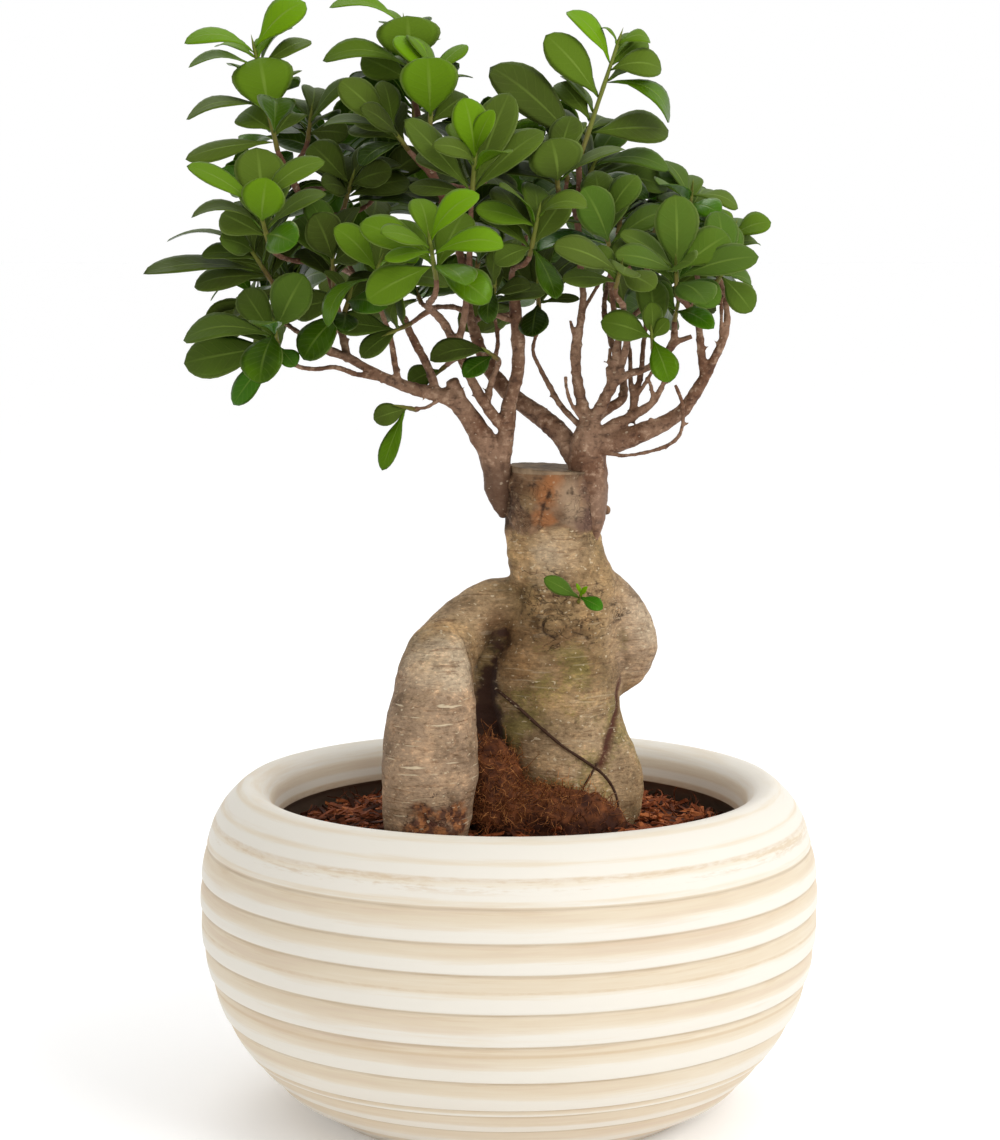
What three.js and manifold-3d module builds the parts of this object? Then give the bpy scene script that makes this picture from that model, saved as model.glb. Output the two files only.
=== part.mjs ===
// Ficus ginseng bonsai in a ribbed ceramic bowl. Millimetres, +Z up, origin at the centre of the bowl's flat
// foot, the front of the plant towards -Y.
import * as THREE from 'three';
import { mergeVertices } from 'three/addons/utils/BufferGeometryUtils.js';
import Module from 'manifold-3d';

// Bowl
const bowlRadius = 137;
const crownRadius = 117.5;
const crownHeight = 145.8;
const lipInnerRadius = 103;
const lipLowerEdge = 129.5;
const footRadius = 80;
const wall = 9;
const floorThickness = 10;
const drainRadius = 6;
const drainCircle = 34;
const roundSides = 40;

// Soil and what lies on it
const gap = 0.3;
const soilEdgeHeight = 114;
const soilMiddleHeight = 123;
const mulchThickness = 7;

// Plant
const leafThickness = 0.9;
const stemRadius = 1.5;
const leafStart = 2.4;
const bladeRoom = 4.6;
const ownRoom = 3;
const branchRoom = 2.6;
const goldenTurn = 137.5;
const fillLength = 34;

// The viewer's side: how far off, how high and how steep the look at the plant is
const viewDistance = 1300;
const viewHeight = 240;
const viewSlope = 0.129;

const wasm = await Module();
wasm.setup();

const group = new THREE.Group();

function point(x, y, z) {
  return new THREE.Vector3(x, y, z);
}

function solidOf(geometry) {
  const bare = geometry.clone();
  bare.deleteAttribute('normal');
  bare.deleteAttribute('uv');
  const merged = mergeVertices(bare, 1e-4);
  return new wasm.Manifold(new wasm.Mesh({
    numProp: 3,
    vertProperties: merged.getAttribute('position').array,
    triVerts: new Uint32Array(merged.index.array),
  }));
}

function joined(solids) {
  return solids.reduce((sum, solid) => sum.add(solid));
}

// The biggest body of a solid that a cut may have left in pieces.
function mainBody(solid) {
  const bodies = solid.decompose();
  return bodies.reduce((best, body) => (body.volume() > best.volume() ? body : best));
}

function place(name, solid, colour, roughness) {
  const made = solid.getMesh();
  const corners = new Float32Array(made.numVert * 3);
  for (let i = 0; i < made.numVert; i += 1) {
    corners.set(made.vertProperties.subarray(i * made.numProp, i * made.numProp + 3), i * 3);
  }
  const geometry = new THREE.BufferGeometry();
  geometry.setAttribute('position', new THREE.BufferAttribute(corners, 3));
  geometry.setIndex(new THREE.BufferAttribute(made.triVerts, 1));
  geometry.computeVertexNormals();
  const material = new THREE.MeshStandardMaterial({ color: colour, roughness, metalness: 0 });
  const mesh = new THREE.Mesh(geometry, material);
  mesh.name = name;
  group.add(mesh);
}

// A closed tube through a list of frames: a place, a tangent, an upward direction, and two half sizes.
function sweep(frames, sides) {
  const steps = frames.length - 1;
  const tube = new THREE.CylinderGeometry(1, 1, steps, sides, steps);
  const corners = tube.getAttribute('position');
  for (let i = 0; i < corners.count; i += 1) {
    const frame = frames[Math.round(corners.getY(i) + steps / 2)];
    const across = frame.tangent.clone().cross(frame.up);
    const corner = frame.at.clone()
      .addScaledVector(across, corners.getX(i) * frame.wide)
      .addScaledVector(frame.up, corners.getZ(i) * frame.deep);
    corners.setXYZ(i, corner.x, corner.y, corner.z);
  }
  return solidOf(tube);
}

// Frames along a curve whose upward direction is carried on from step to step without twisting.
function framesAlong(curve, steps, radiusAt) {
  const frames = [];
  let up = point(0.31, 0.9, 0.27);
  for (let i = 0; i <= steps; i += 1) {
    const t = i / steps;
    const tangent = curve.getTangent(t);
    up = up.clone().addScaledVector(tangent, -up.dot(tangent)).normalize();
    frames.push({ at: curve.getPoint(t), tangent, up, wide: radiusAt(t), deep: radiusAt(t) });
  }
  return frames;
}

function between(values, t) {
  const where = t * (values.length - 1);
  const low = Math.min(Math.floor(where), values.length - 2);
  return THREE.MathUtils.lerp(values[low], values[low + 1], where - low);
}

// A limb through points [x, y, z, radius]. grow widens it, for cutting its bed in a neighbour.
function limbCurve(points) {
  return new THREE.CatmullRomCurve3(points.map(([x, y, z]) => point(x, y, z)), false, 'centripetal');
}

function limb(points, sides, grow = 0) {
  const radii = points.map((entry) => entry[3] + grow);
  const curve = limbCurve(points);
  const steps = Math.max(2, Math.round(curve.getLength() / 14));
  return sweep(framesAlong(curve, steps, (t) => between(radii, t)), sides);
}

function ball(x, y, z, rx, ry, rz, grow = 0) {
  const sphere = new THREE.SphereGeometry(1, 10, 6);
  sphere.rotateX(Math.PI / 2);
  sphere.scale(rx + grow, ry + grow, rz + grow);
  sphere.translate(x, y, z);
  return solidOf(sphere);
}

function turned(profile, segments) {
  const lathe = new THREE.LatheGeometry(profile.map(([r, z]) => new THREE.Vector2(r, z)), segments);
  lathe.rotateX(Math.PI / 2);
  return solidOf(lathe);
}

// The bowl's outer outline: each rib is a shallow step that ends in a groove.
const grooves = [
  [84, 3], [98.1, 10], [108, 19.8], [118.2, 31.6], [126.8, 46], [132.6, 62.7], [135.3, 77.1],
  [136.3, 93.8], [135.7, 106.5], [133.3, 120.2],
];
const ribSwell = 1.2;

function outerOutline() {
  const outline = [[footRadius, 0]];
  grooves.forEach(([r, z], i) => {
    outline.push([r, z]);
    const next = grooves[i + 1];
    if (next && z > 15) {
      const swell = Math.min((r + next[0]) / 2 + ribSwell, bowlRadius);
      outline.push([swell, (z + next[1]) / 2 + (z > 90 ? 1 : -1)]);
    }
  });
  return outline;
}

function innerRadiusAt(z) {
  const outline = [[footRadius, 0], ...grooves];
  const above = outline.findIndex((entry) => entry[1] > z);
  const [r0, z0] = outline[above - 1];
  const [r1, z1] = outline[above];
  return THREE.MathUtils.mapLinear(z, z0, z1, r0, r1) - wall;
}

function bowl() {
  const rim = [
    [131.3, 129], [129.3, 133], [126.7, 137], [123.5, 140.7], [crownRadius, crownHeight],
    [crownRadius - 4.5, crownHeight - 0.8], [109.5, 143.6], [106.5, 140.6], [104.4, 136],
    [lipInnerRadius, lipLowerEdge], [106, lipLowerEdge - 1],
  ];
  const inside = [92, 56, 30].map((z) => [innerRadiusAt(z), z]);
  const profile = [[0, 0], ...outerOutline(), ...rim, ...inside, [72, floorThickness], [0, floorThickness]];
  let solid = turned(profile, roundSides);
  for (let i = 0; i < 3; i += 1) {
    const hole = new THREE.CylinderGeometry(drainRadius, drainRadius, 4 * floorThickness, 12);
    hole.rotateX(Math.PI / 2);
    const turn = THREE.MathUtils.degToRad(90 + 120 * i);
    hole.translate(drainCircle * Math.cos(turn), drainCircle * Math.sin(turn), 0);
    solid = solid.subtract(solidOf(hole));
  }
  return solid;
}

// Rootstock limbs, each a list of [x, y, z, radius].
const trunkLimb = [
  [28, 0, 98, 24], [28, 0, 120, 28], [27.5, 0, 138, 29.5], [26, 0, 155, 28.6], [22.4, 1, 173, 27.6],
  [21.4, 2, 191, 28.4], [22.6, 2, 209, 26.2], [24.5, 2, 227, 23.6], [21.6, 1, 242, 21.6],
  [19.4, 0, 258, 20], [18.9, 0, 272, 20.2], [19.8, 0, 285.3, 20.1],
];
const archLimb = [
  [7, 5, 223, 13], [-8.4, 4, 222, 13], [-23, -8, 212.5, 13.4], [-31, -28, 201, 15.6],
  [-33, -42, 183, 19.6], [-34, -50, 160.5, 21], [-35, -53, 141, 19], [-35, -53, 118, 16],
  [-34, -52, 100, 12],
];
const noseLimb = [[-25, -27, 213, 5.5], [-26.5, -34, 206, 9.5], [-29, -42, 192, 14], [-31, -46, 176, 16]];
const bulgeLimb = [
  [30, 4, 236, 13], [45.5, 10, 219, 14.5], [49.5, 13, 205, 17], [45, 14, 194, 14],
  [30, 12, 182, 9],
];
const heelLimb = [[28, -2, 168, 20], [38, -4, 150, 21], [38, -5, 132, 20], [36, -5, 105, 16]];
const kneeLimb = [[14, -2, 205, 18], [8, -6, 192, 15], [12, -8, 172, 16], [20, -8, 150, 18]];
const webRoot = [
  [-4, 2, 214, 10], [-8, 2, 196, 8], [-10, 0, 176, 8], [-10, -2, 150, 10], [-10, -4, 118, 12],
];
const barkStub = [[33, 4, 266.5, 2.6], [39, 3, 266.5, 2.6], [44.6, 1.5, 266, 2]];
const aerialRoot = [
  [-6, -17, 190, 1.2], [4, -21.8, 182.5, 1.2], [14, -25.8, 174, 1.2], [24, -28, 166, 1.2],
  [33, -28, 160, 1.2], [40, -25.5, 154.5, 1.2], [45.5, -23.9, 147, 1.2], [47.6, -23, 139, 1.2],
  [47.8, -22.4, 128, 1.2], [46.6, -20.5, 118, 1.2],
];

function rootstock(grow = 0) {
  return joined([
    limb(trunkLimb, 16, grow), limb(archLimb, 12, grow), limb(noseLimb, 9, grow),
    limb(bulgeLimb, 10, grow), limb(heelLimb, 10, grow), limb(kneeLimb, 10, grow), limb(aerialRoot, 3, grow),
    limb(webRoot, 8, grow), limb(barkStub, 5, grow), ball(1.2, 0, 248, 3.8, 5, 5, grow),
  ]);
}

function fibreMass(grow = 0) {
  return joined([
    ball(-8, -22, 142, 16, 20, 28, grow), ball(16, -31, 132, 36, 17, 18, grow),
  ]);
}

// Scion branches, each a list of [x, y, z, radius]. The first limb of a scion is its grafted wedge.
const leftBranches = {
  wedge: [
    [-2.4, 0, 263, 1.3], [-3, -1, 268, 4], [-4.5, -2, 276, 6.3], [-5, -3, 284, 6.4],
    [-7.8, -4, 292, 5.8],
  ],
  low: [
    [-7.8, -4, 292, 5.6], [-16, -7, 306, 4.6], [-23.5, -10, 315.5, 4], [-30.5, -12, 318, 3.4],
    [-38.7, -14, 320, 3], [-49, -17, 323.6, 2.6], [-59.5, -20, 329, 2.2], [-69.5, -23, 334.8, 1.9],
    [-84, -27, 339, 1.6],
  ],
  upright: [
    [-4.4, -4, 287, 4.6], [-2.6, -5, 293, 4.2], [-1.6, -6, 299, 3.8], [-0.6, -7, 305, 3.5],
    [-0.2, -8, 312.5, 3.2], [2, -9, 320, 2.9],
    [4, -10, 330, 3], [3.8, -12, 343, 3], [2.4, -14, 358, 2.6], [1.3, -18, 367, 1.8],
  ],
  leaning: [
    [-2, -7, 303, 2.7], [-7.4, -10, 309.5, 2.6], [-15, -12, 322, 2.4], [-21.7, -14, 336.5, 2.2],
    [-27.8, -16, 348.7, 2], [-32.6, -22, 354.4, 1.9], [-34, -42, 357.5, 1.7], [-31, -62, 362, 1.6],
  ],
  leaningFork: [
    [-22.5, -14, 338, 1.8], [-19.5, -18, 350.4, 1.8], [-17.8, -24, 362, 1.6],
    [-16.5, -36, 381, 1.5],
  ],
  leftRiser: [[-31, -12, 318.5, 2.1], [-35, -12, 330, 2.1], [-40.8, -13, 341, 2], [-45.6, -14, 352, 1.7]],
  leftTwig: [[-47, -16, 321.8, 1.6], [-49, -18, 331.5, 1.6], [-50.8, -22, 343.3, 1.4], [-54, -31, 354, 1.3]],
  cutStub: [[-20, -9, 313, 3.2], [-22.5, -10, 319, 3.1], [-25, -11, 324.5, 2.8]],
  droopTwig: [[-29, -13, 316.5, 1], [-35.5, -18, 313, 0.9], [-39, -22, 312.6, 0.9]],
  lowFork: [
    [-53.5, -18, 325.2, 1.6], [-65, -25, 327.6, 1.4], [-74.3, -28, 330.8, 1.3], [-82, -30, 330.2, 1.2],
    [-89, -33, 331.2, 1.2], [-93, -35, 333.6, 1.2],
  ],
  innerTwig: [[-9.5, -9.5, 312, 1.7], [-8, -8, 322, 1.6], [-5, -8, 330, 1.4]],
  sideStem: [
    [-69, -22.5, 333, 2], [-73, -14, 350, 2], [-80, 0, 378, 1.8], [-90, 3, 402, 1.6], [-97, 0, 416, 1.5],
  ],
  topStem: [[-18, -27, 366, 1.9], [-24, -14, 390, 1.9], [-35, -4, 420, 1.7], [-40.5, 3, 443, 1.5]],
};
const rightBranches = {
  wedge: [
    [37, -8, 252, 1.5], [36.8, -6, 263, 5.4], [35.8, -5, 272, 7.6], [34.4, -6, 284, 8.6],
    [33.6, -7, 294, 8.1],
    [34.5, -8, 301, 6], [35.6, -8, 306, 4.4],
  ],
  longLeft: [
    [29, -6, 290, 5], [23, 0, 299.3, 4.6], [16, 4, 305.6, 4.2], [3.4, 8, 314.6, 3.9], [-4.9, 10, 322.6, 3.6],
    [-10.4, 12, 331, 3.2], [-14.9, 12, 343.3, 2.8], [-17.4, 14, 352, 2.5], [-18, 22, 366, 2],
  ],
  longLeftFork: [[-8, 11, 327, 1.6], [-5, 10, 338, 1.5], [-6, 6, 350, 1.3]],
  upright: [
    [34.8, -8, 304, 3.4], [32, -7, 312.6, 3], [29.5, -6, 325.8, 2.6], [29.5, -7, 339, 2.4],
    [31.3, -9, 351.6, 2.2], [32.2, -11, 362, 2],
  ],
  uprightTwig: [[29.3, -6, 322, 1.2], [27.2, -8, 334, 1.1], [28, -9, 343, 1], [26.5, -10, 350, 0.9]],
  uprightFork: [[31.7, -9, 353.7, 1.2], [35.5, -7, 360, 1.1], [39.6, -5, 367, 1]],
  thinLeft: [
    [33, -6, 302, 1.9], [22.2, -1, 313, 1.8], [17.4, 1, 321.4, 1.7], [13.9, 1, 328, 1.5],
    [10.5, -1, 336, 1.4],
    [11.5, -3, 343, 1.3],
  ],
  shortTwig: [[33, -8, 305, 1.2], [27, -10, 314, 1.1], [24.8, -11, 321.4, 1], [24.4, -12, 326, 0.9]],
  middle: [
    [35.5, -8, 305, 3.6], [39, -8, 311, 3.2], [42.6, -9, 318, 2.8], [46, -10, 325.4, 2.6],
    [46, -11, 333.7, 2.3],
    [47.4, -13, 344.7, 2.1], [45.3, -17, 353, 1.9], [43.5, -23, 366, 1.7],
  ],
  middleTwig: [[43.5, -9, 320, 1], [42.5, -10, 330, 0.9]],
  middleTwin: [[45.5, -10, 325, 1.1], [43.6, -9, 332, 1.1], [43.8, -8, 338, 1]],
  frontRiser: [[46.4, -10, 324, 2.2], [49.5, -13, 334, 2.1], [50.5, -21, 344.6, 1.8], [48.5, -36, 356, 1.6]],
  redSide: [[46.5, -10, 323.5, 2.3], [53, -14, 327.6, 2.2], [57.5, -18, 328.8, 1.9], [60.5, -22, 331, 1.7]],
  backRiser: [
    [50, -6, 303.5, 1.8], [53.9, -5, 312.6, 1.8], [52.9, -3, 323.6, 1.7], [52.8, -1, 332.4, 1.6],
    [51.9, 3, 343.3, 1.4],
  ],
  sideRiser: [
    [53.5, -6, 308, 1.9], [55.9, -4, 320, 1.8], [57.6, -3, 328, 1.7], [58.4, -1, 338, 1.6],
    [60, 5, 350, 1.4],
  ],
  sideRiserFork: [[55.5, -5, 317, 1.5], [60.6, -8, 325, 1.3], [64, -9, 332, 1.1]],
  lowRight: [
    [38, -8, 297, 4.2], [45.2, -8, 303.8, 3.4], [49.5, -7, 306, 3], [54.7, -7, 309, 2.6],
    [62.4, -8, 314.4, 2],
    [65.7, -9, 320, 1.7], [67.4, -10, 324.4, 1.5],
  ],
  lowRightTwig: [[62, -8, 314, 0.9], [62, -9, 319, 0.8], [61, -9, 323.6, 0.8]],
  rearRiser: [
    [36.5, -6, 306, 2.8], [42.5, -3, 311, 2.7], [49, 0, 314.7, 2.5], [50.3, 5, 320, 2.3], [48, 16, 330, 2],
    [44, 30, 344, 1.8],
  ],
  longRight: [
    [34, -8, 296, 6.2], [40, -8, 296.5, 5.5], [50.5, -9, 298.6, 4.7], [58.8, -10, 302, 4.2],
    [65.3, -11, 304.6, 3.7],
    [75, -12, 311, 3.2], [79.3, -13, 317, 3], [84, -14, 325, 2.8], [88.4, -14, 333.5, 2.5],
    [92.4, -14, 342, 2.2], [94, -13, 350, 2], [92.9, -12, 359.6, 1.8], [91, -11, 366, 1.7],
  ],
  longRightFork: [
    [84.5, -14, 323, 2.3], [82.7, -15, 337.7, 2.2], [80.9, -18, 350, 1.9],
    [76, -25, 357, 1.7],
  ],
  longRightTwig: [[91, -14, 338, 1.2], [91.3, -16, 351.7, 1.1], [90.8, -18, 361, 1]],
  stub: [[59.5, -10, 301, 2.4], [61.7, -12, 308, 1.3]],
  hangingTwig: [
    [38, -12, 293.6, 1.4], [49.2, -14, 291.8, 1.2], [60, -15, 293.4, 1.1], [67.8, -16, 296, 1.1],
    [73, -17, 300, 1], [75, -17, 306.5, 1], [74.6, -18, 314.8, 1], [71.5, -18, 322.7, 0.8],
  ],
  stubStem: [[60, -21, 330, 1.9], [66.5, -19, 335, 2.2], [70.5, -19, 341, 2.3], [71, -19.5, 346, 2]],
  stubLow: [[71, -19, 341, 1.8], [78.5, -19, 343.5, 1.6]],
  topStem: [[32, -11, 361, 2], [30, -10, 385, 1.8], [30, -13, 411, 1.7]],
  sideStem: [[81, -18, 349, 1.8], [82, -8, 364, 1.7], [79.5, 0, 378, 1.6], [78, 2, 386, 1.5]],
};

// Leafy shoots. base and apex are the ends of the green stem. from names a scion branch and how far along it
// the twig to the shoot leaves. Each leaf is [place on the stem from 0 to 1, tip x, tip y, tip z, width,
// arch, face], where face is 0 for a blade square to the viewer and 90 for one that lies flat. fill more
// leaves go round the stem where there is room.
const shoots = {
  upper_left: {
    base: [-100, -4, 424], apex: [-110, 6, 466], from: ['left', 'sideStem', 1], fill: 4,
    leaves: [
      [0.25, -108, 2, 464, 27, 6, 8], [1, -88, 4, 487.5, 18, 4, 40], [0.95, -140, -4, 469.5, 14, 7, 70],
      [0.8, -138.6, -2, 459.5, 14, 5, 70], [0.9, -128, 16, 469, 11, 3, 60], [0.4, -140, -2, 437, 15, 6, 66],
      [0.8, -86, 12, 471.5, 13, 2, 55], [0.1, -92, 12, 441, 16, 2, 20], [0, -139.5, -8, 420, 14, 2, 50],
      [0.15, -117, 12, 440, 15, 2, 20],
    ],
  },
  middle_left: {
    base: [-101.5, -36, 384], apex: [-104.5, -44, 398], from: ['left', 'sideStem', 0.4], fill: 3,
    leaves: [
      [0.5, -106.5, -31, 424, 22, 3, 12], [0.6, -100.5, -54, 411, 19, 4, 15],
      [0.9, -76.5, -46, 418.5, 13, 8, 45],
      [0.9, -134, -50, 416, 14, 4, 50], [0.2, -133.5, -46, 395.5, 13, 9, 74],
      [0.3, -77, -36, 406, 13, 4, 55],
      [0, -122, -30, 396, 16, 2, 20],
    ],
  },
  far_left: {
    base: [-101.5, -14, 366], apex: [-110, -20, 380], from: ['left', 'sideStem', 0.3], fill: 3,
    leaves: [
      [0.3, -156, -26, 371, 17, 5, 62], [0.9, -147.5, -14, 385, 12, 7, 80],
      [0.7, -131.5, -22, 378.5, 12, 3, 60],
      [0.95, -121.5, -36, 386, 13, 3, 35], [0.2, -135.5, -20, 366, 14, 3, 50],
      [0, -130.5, -6, 359, 10, 5, 80],
      [0.8, -116, 6, 396, 16, 3, 25],
    ],
  },
  lower_left: {
    base: [-97.5, -37, 338], apex: [-98.5, -42, 347], from: ['left', 'lowFork', 1], fill: 2,
    leaves: [
      [0.9, -85.5, -52, 371, 19, 3, 15], [0.6, -138, -44, 344, 17, 8, 50], [0.3, -139, -33, 333, 19, 2, 25],
      [0.9, -104, -57, 325.5, 19, 5, 15], [0, -118, -36, 315, 11, 2, 15],
      [0.2, -90, -44, 332, 9, 1, 20],
    ],
  },
  lower_inner_left: {
    base: [-70, -36, 353], apex: [-67, -41, 362], from: ['left', 'low', 0.92], fill: 4,
    leaves: [
      [0.2, -87, -45, 335, 17, 4, 30], [0.6, -50.5, -62, 358, 15, 4, 40], [0.9, -93, -32, 355, 14, 2, 20],
    ],
  },
  curved_left: {
    base: [-57.5, -44, 366], apex: [-54, -52, 375], from: ['left', 'leftTwig', 1], fill: 4,
    leaves: [[0.3, -76.5, -60, 349.5, 13, 8, 60]],
  },
  front_centre_left: {
    base: [-30, -74, 371], apex: [-32, -86, 385], from: ['left', 'leaning', 1], fill: 2,
    leaves: [
      [0.5, -60.5, -82, 393.5, 16, 2, 35], [0.7, -50, -96, 378, 8, 2, 50], [0.3, -58, -88, 362, 17, 3, 25],
      [0.95, -12, -90, 405, 14, 6, 45], [0.6, -1, -84, 385, 14, 6, 35], [0.2, -7.5, -86, 361, 17, 3, 25],
      [0.8, -37, -72, 404, 13, 2, 15],
    ],
  },
  upper_centre: {
    base: [-15.5, -52, 402], apex: [-13.7, -58, 424.5], from: ['left', 'leaningFork', 1], fill: 3,
    leaves: [
      [0.1, -42.5, -62, 435, 14, 2, 35], [0.6, -31.5, -70, 424, 11, 6, 60],
      [0.7, -18.5, -64, 443.5, 16, 3, 15],
      [0.8, -7, -66, 438.5, 9, 2, 30], [0.1, 0, -48, 446.5, 18, 3, 20], [0, 14, -56, 431, 16, 3, 35],
      [0, -42, -50, 408, 11, 1, 45],
    ],
  },
  top_centre: {
    base: [-42, 6, 450], apex: [-45, 8, 475], from: ['left', 'topStem', 1], fill: 2,
    leaves: [
      [0.35, -44, 2, 480.5, 28, 5, 8], [1, -78, 2, 485.5, 13, 7, 62], [1, -36, 24, 480, 11, 2, 60],
      [0.3, -81, -2, 462, 13, 9, 62], [0, -64, 8, 463, 16, 2, 20],
    ],
  },
  top_centre_front: {
    base: [-33.5, -22, 431], apex: [-32.5, -20, 455], from: ['left', 'topStem', 0.6], fill: 3,
    leaves: [
      [0.2, -34.5, -27, 462, 25, 5, 8], [0.9, -18, -12, 467.5, 11, 2, 50], [0.6, -15, -16, 454.5, 6, 3, 75],
      [0.1, -17.5, -12, 446, 15, 3, 25],
    ],
  },
  top_centre_left: {
    base: [-44, -12, 424], apex: [-50, -16, 432], from: ['left', 'topStem', 0.5], fill: 2,
    leaves: [
      [0.9, -72, -18, 452, 16, 2, 20], [0.9, -54, -9, 453, 12, 2, 25], [0.5, -62, -28, 441, 12, 2, 40],
      [0.7, -80, -14, 434, 13, 4, 65], [0.2, -64, -26, 417, 13, 3, 55],
    ],
  },
  upper_inner_left: {
    base: [-88, 18, 428], apex: [-87, 20, 437], from: ['left', 'sideStem', 0.85], fill: 4,
    leaves: [[0.7, -70, 12, 455, 12, 2, 55], [0.2, -70, 14, 430, 15, 2, 30]],
  },
  inner_left: {
    base: [-71, -4, 399], apex: [-68, -6, 409], from: ['left', 'sideStem', 0.5], fill: 5,
    leaves: [
      [0.5, -80, -18, 408, 14, 3, 50], [0.8, -50, -12, 414, 15, 3, 40], [0.9, -86, -2, 426, 16, 2, 20],
    ],
  },
  inner_low_left: {
    base: [-75, -22, 366], apex: [-75, -28, 380], from: ['left', 'sideStem', 0.2], fill: 4,
    leaves: [[0.7, -82, -38, 396, 18, 3, 20], [0.6, -60, -36, 384, 15, 2, 30]],
  },
  top_right: {
    base: [30.5, -14, 420], apex: [46.5, -12, 468], from: ['right', 'topStem', 1], fill: 3,
    leaves: [
      [0.05, -8, -18, 458.5, 22, 6, 32], [0.5, 15.5, -20, 471, 18, 4, 30], [0.8, 25, -12, 482.5, 15, 4, 55],
      [0.97, 39.5, -10, 476, 4, 2, 60], [0.97, 61.5, -12, 470, 10, 4, 50], [0.75, 66, -15, 457.5, 15, 6, 40],
      [0.65, 70.5, -8, 434.5, 13, 11, 50], [0.2, 69, -2, 431.5, 19, 3, 30], [0.3, 21, 2, 453, 13, 2, 20],
    ],
  },
  centre_cup: {
    base: [20.5, -40, 407], apex: [19.5, -44, 416], from: ['right', 'topStem', 0.7], fill: 3,
    leaves: [[0.2, 17.5, -54, 427, 24, 4, 20], [0.9, 0, -40, 430, 12, 4, 60]],
  },
  long_right: {
    base: [31, 6, 404], apex: [37, 4, 417], from: ['right', 'topStem', 0.6], fill: 4,
    leaves: [
      [0.9, 69.5, -4, 414.5, 14, 7, 56], [0.3, 60, -12, 402, 13, 8, 52],
      [0.6, 70, 12, 407, 15, 4, 35],
    ],
  },
  front_right: {
    base: [71, -37, 363], apex: [70, -45, 374], from: ['right', 'longRightFork', 1], fill: 2,
    leaves: [
      [0.7, 69, -51, 404, 20, 2, 8], [0.8, 92.5, -40, 388, 17, 2, 25], [0.5, 104.5, -48, 378.5, 16, 4, 42],
      [0.7, 43.5, -58, 379.5, 13, 4, 50], [0.8, 46, -44, 388, 13, 3, 50], [0.4, 88.5, -48, 359, 14, 2, 30],
    ],
  },
  upper_right: {
    base: [78, 2, 394], apex: [79, 0, 404], from: ['right', 'sideStem', 1], fill: 4,
    leaves: [[0.9, 100, -4, 399, 12, 3.5, 56], [0.5, 90, -16, 397, 12, 2, 40]],
  },
  right_end: {
    base: [93, 0, 376], apex: [97, 2, 387], from: ['right', 'longRight', 1], fill: 3,
    leaves: [[0.8, 113.5, -2, 392, 14, 3, 50], [0.9, 90.5, 6, 399, 9, 2, 50], [0.4, 110, 8, 384, 10, 2, 55]],
  },
  low_right: {
    base: [88, -24, 366], apex: [91, -29, 371], from: ['right', 'longRightTwig', 1], fill: 1,
    leaves: [[0.7, 103, -36, 355, 13, 2, 10], [0.8, 105, -22, 366, 10, 2, 50]],
  },
  centre_right: {
    base: [42.7, -29, 381], apex: [38.5, -34, 398], from: ['right', 'middle', 1], fill: 4,
    leaves: [[0.1, 31, -48, 407, 18, 4, 20], [0.6, 54, -34, 413, 14, 3, 25]],
  },
  front_centre: {
    base: [9, -48, 380], apex: [12, -56, 395], from: ['left', 'upright', 1], fill: 2,
    leaves: [
      [0.9, 33, -64, 400, 13, 6, 58], [0.1, 24, -52, 404, 14, 2, 20], [0.7, -14, -62, 398, 13, 3, 40],
      [0.1, -6, -58, 376, 12, 2, 30], [0.1, 20, -60, 361, 12, 2, 30],
    ],
  },
  front_centre_right: {
    base: [44.5, -54, 366], apex: [46, -60, 373], from: ['right', 'frontRiser', 1], fill: 2,
    leaves: [[0.7, 18, -72, 384, 14, 5, 40], [0.2, 22, -66, 370, 11, 2, 45], [0.8, 60, -72, 366, 13, 2, 40]],
  },
  hanging_right: {
    base: [61.6, -28, 337], apex: [60.5, -36, 345], from: ['right', 'redSide', 1], fill: 1,
    leaves: [
      [0.8, 38.5, -44, 351.5, 14, 4, 25], [0.8, 60, -42, 359, 9.5, 1, 10], [0.8, 67, -44, 352, 7, 1, 15],
      [0.8, 68, -44, 325.5, 12.5, 2, 10],
    ],
  },
  stub_right: {
    base: [71, -20, 350.5], apex: [72, -24, 357], from: ['right', 'stubStem', 1], fill: 2,
    leaves: [
      [0.6, 60, -22, 366, 12, 2, 25], [0.5, 86, -44, 349, 10, 4, 40], [0.9, 76, -14, 366, 9, 2, 30],
    ],
  },
  under_centre: {
    base: [13, -8, 355], apex: [12.4, -12, 363], from: ['right', 'thinLeft', 1], fill: 2,
    leaves: [[0.3, 30.5, -14, 359.5, 6, 1, 60], [0.1, 10, -24, 343.5, 14, 2, 20]],
  },
  under_centre_front: {
    base: [-7, -26, 356], apex: [-6, -32, 366], from: ['left', 'upright', 0.8], fill: 3,
    leaves: [[0.9, -9, -42, 350, 10, 3, 30], [0.9, -5, -40, 382, 9, 2, 30]],
  },
  under_small: {
    base: [-5.5, -15, 334], apex: [-9, -22, 337], from: ['left', 'innerTwig', 1], fill: 1,
    leaves: [[0.8, -34, -34, 335, 13, 5, 40], [0.4, -19, -32, 328, 10, 1, 30]],
  },
  drooping: {
    base: [-41, -24, 312.6], apex: [-44.5, -27, 313.6], from: ['left', 'droopTwig', 1], fill: 0,
    leaves: [[0.6, -58, -32, 309, 10, 2, 20], [0.9, -54.5, -32, 287, 8.5, 1, 12]],
  },
  under_left: {
    base: [-27.5, -4, 330], apex: [-31, -3, 327], from: ['left', 'leaning', 0.38], fill: 0,
    leaves: [[0.6, -44, -4, 322, 13, 2, 30]],
  },
  under_middle_left: {
    base: [-43, -31, 349], apex: [-49, -37, 346.5], from: ['left', 'leaning', 0.7], fill: 3,
    leaves: [[0.8, -74, -40, 350, 13, 2, 30], [0.4, -63, -40, 336, 11, 2, 30]],
  },
  inner_middle_left: {
    base: [-60, 16, 402], apex: [-57, 22, 413], from: ['left', 'sideStem', 0.6], fill: 7, leaves: [],
  },
  inner_centre: {
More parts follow.
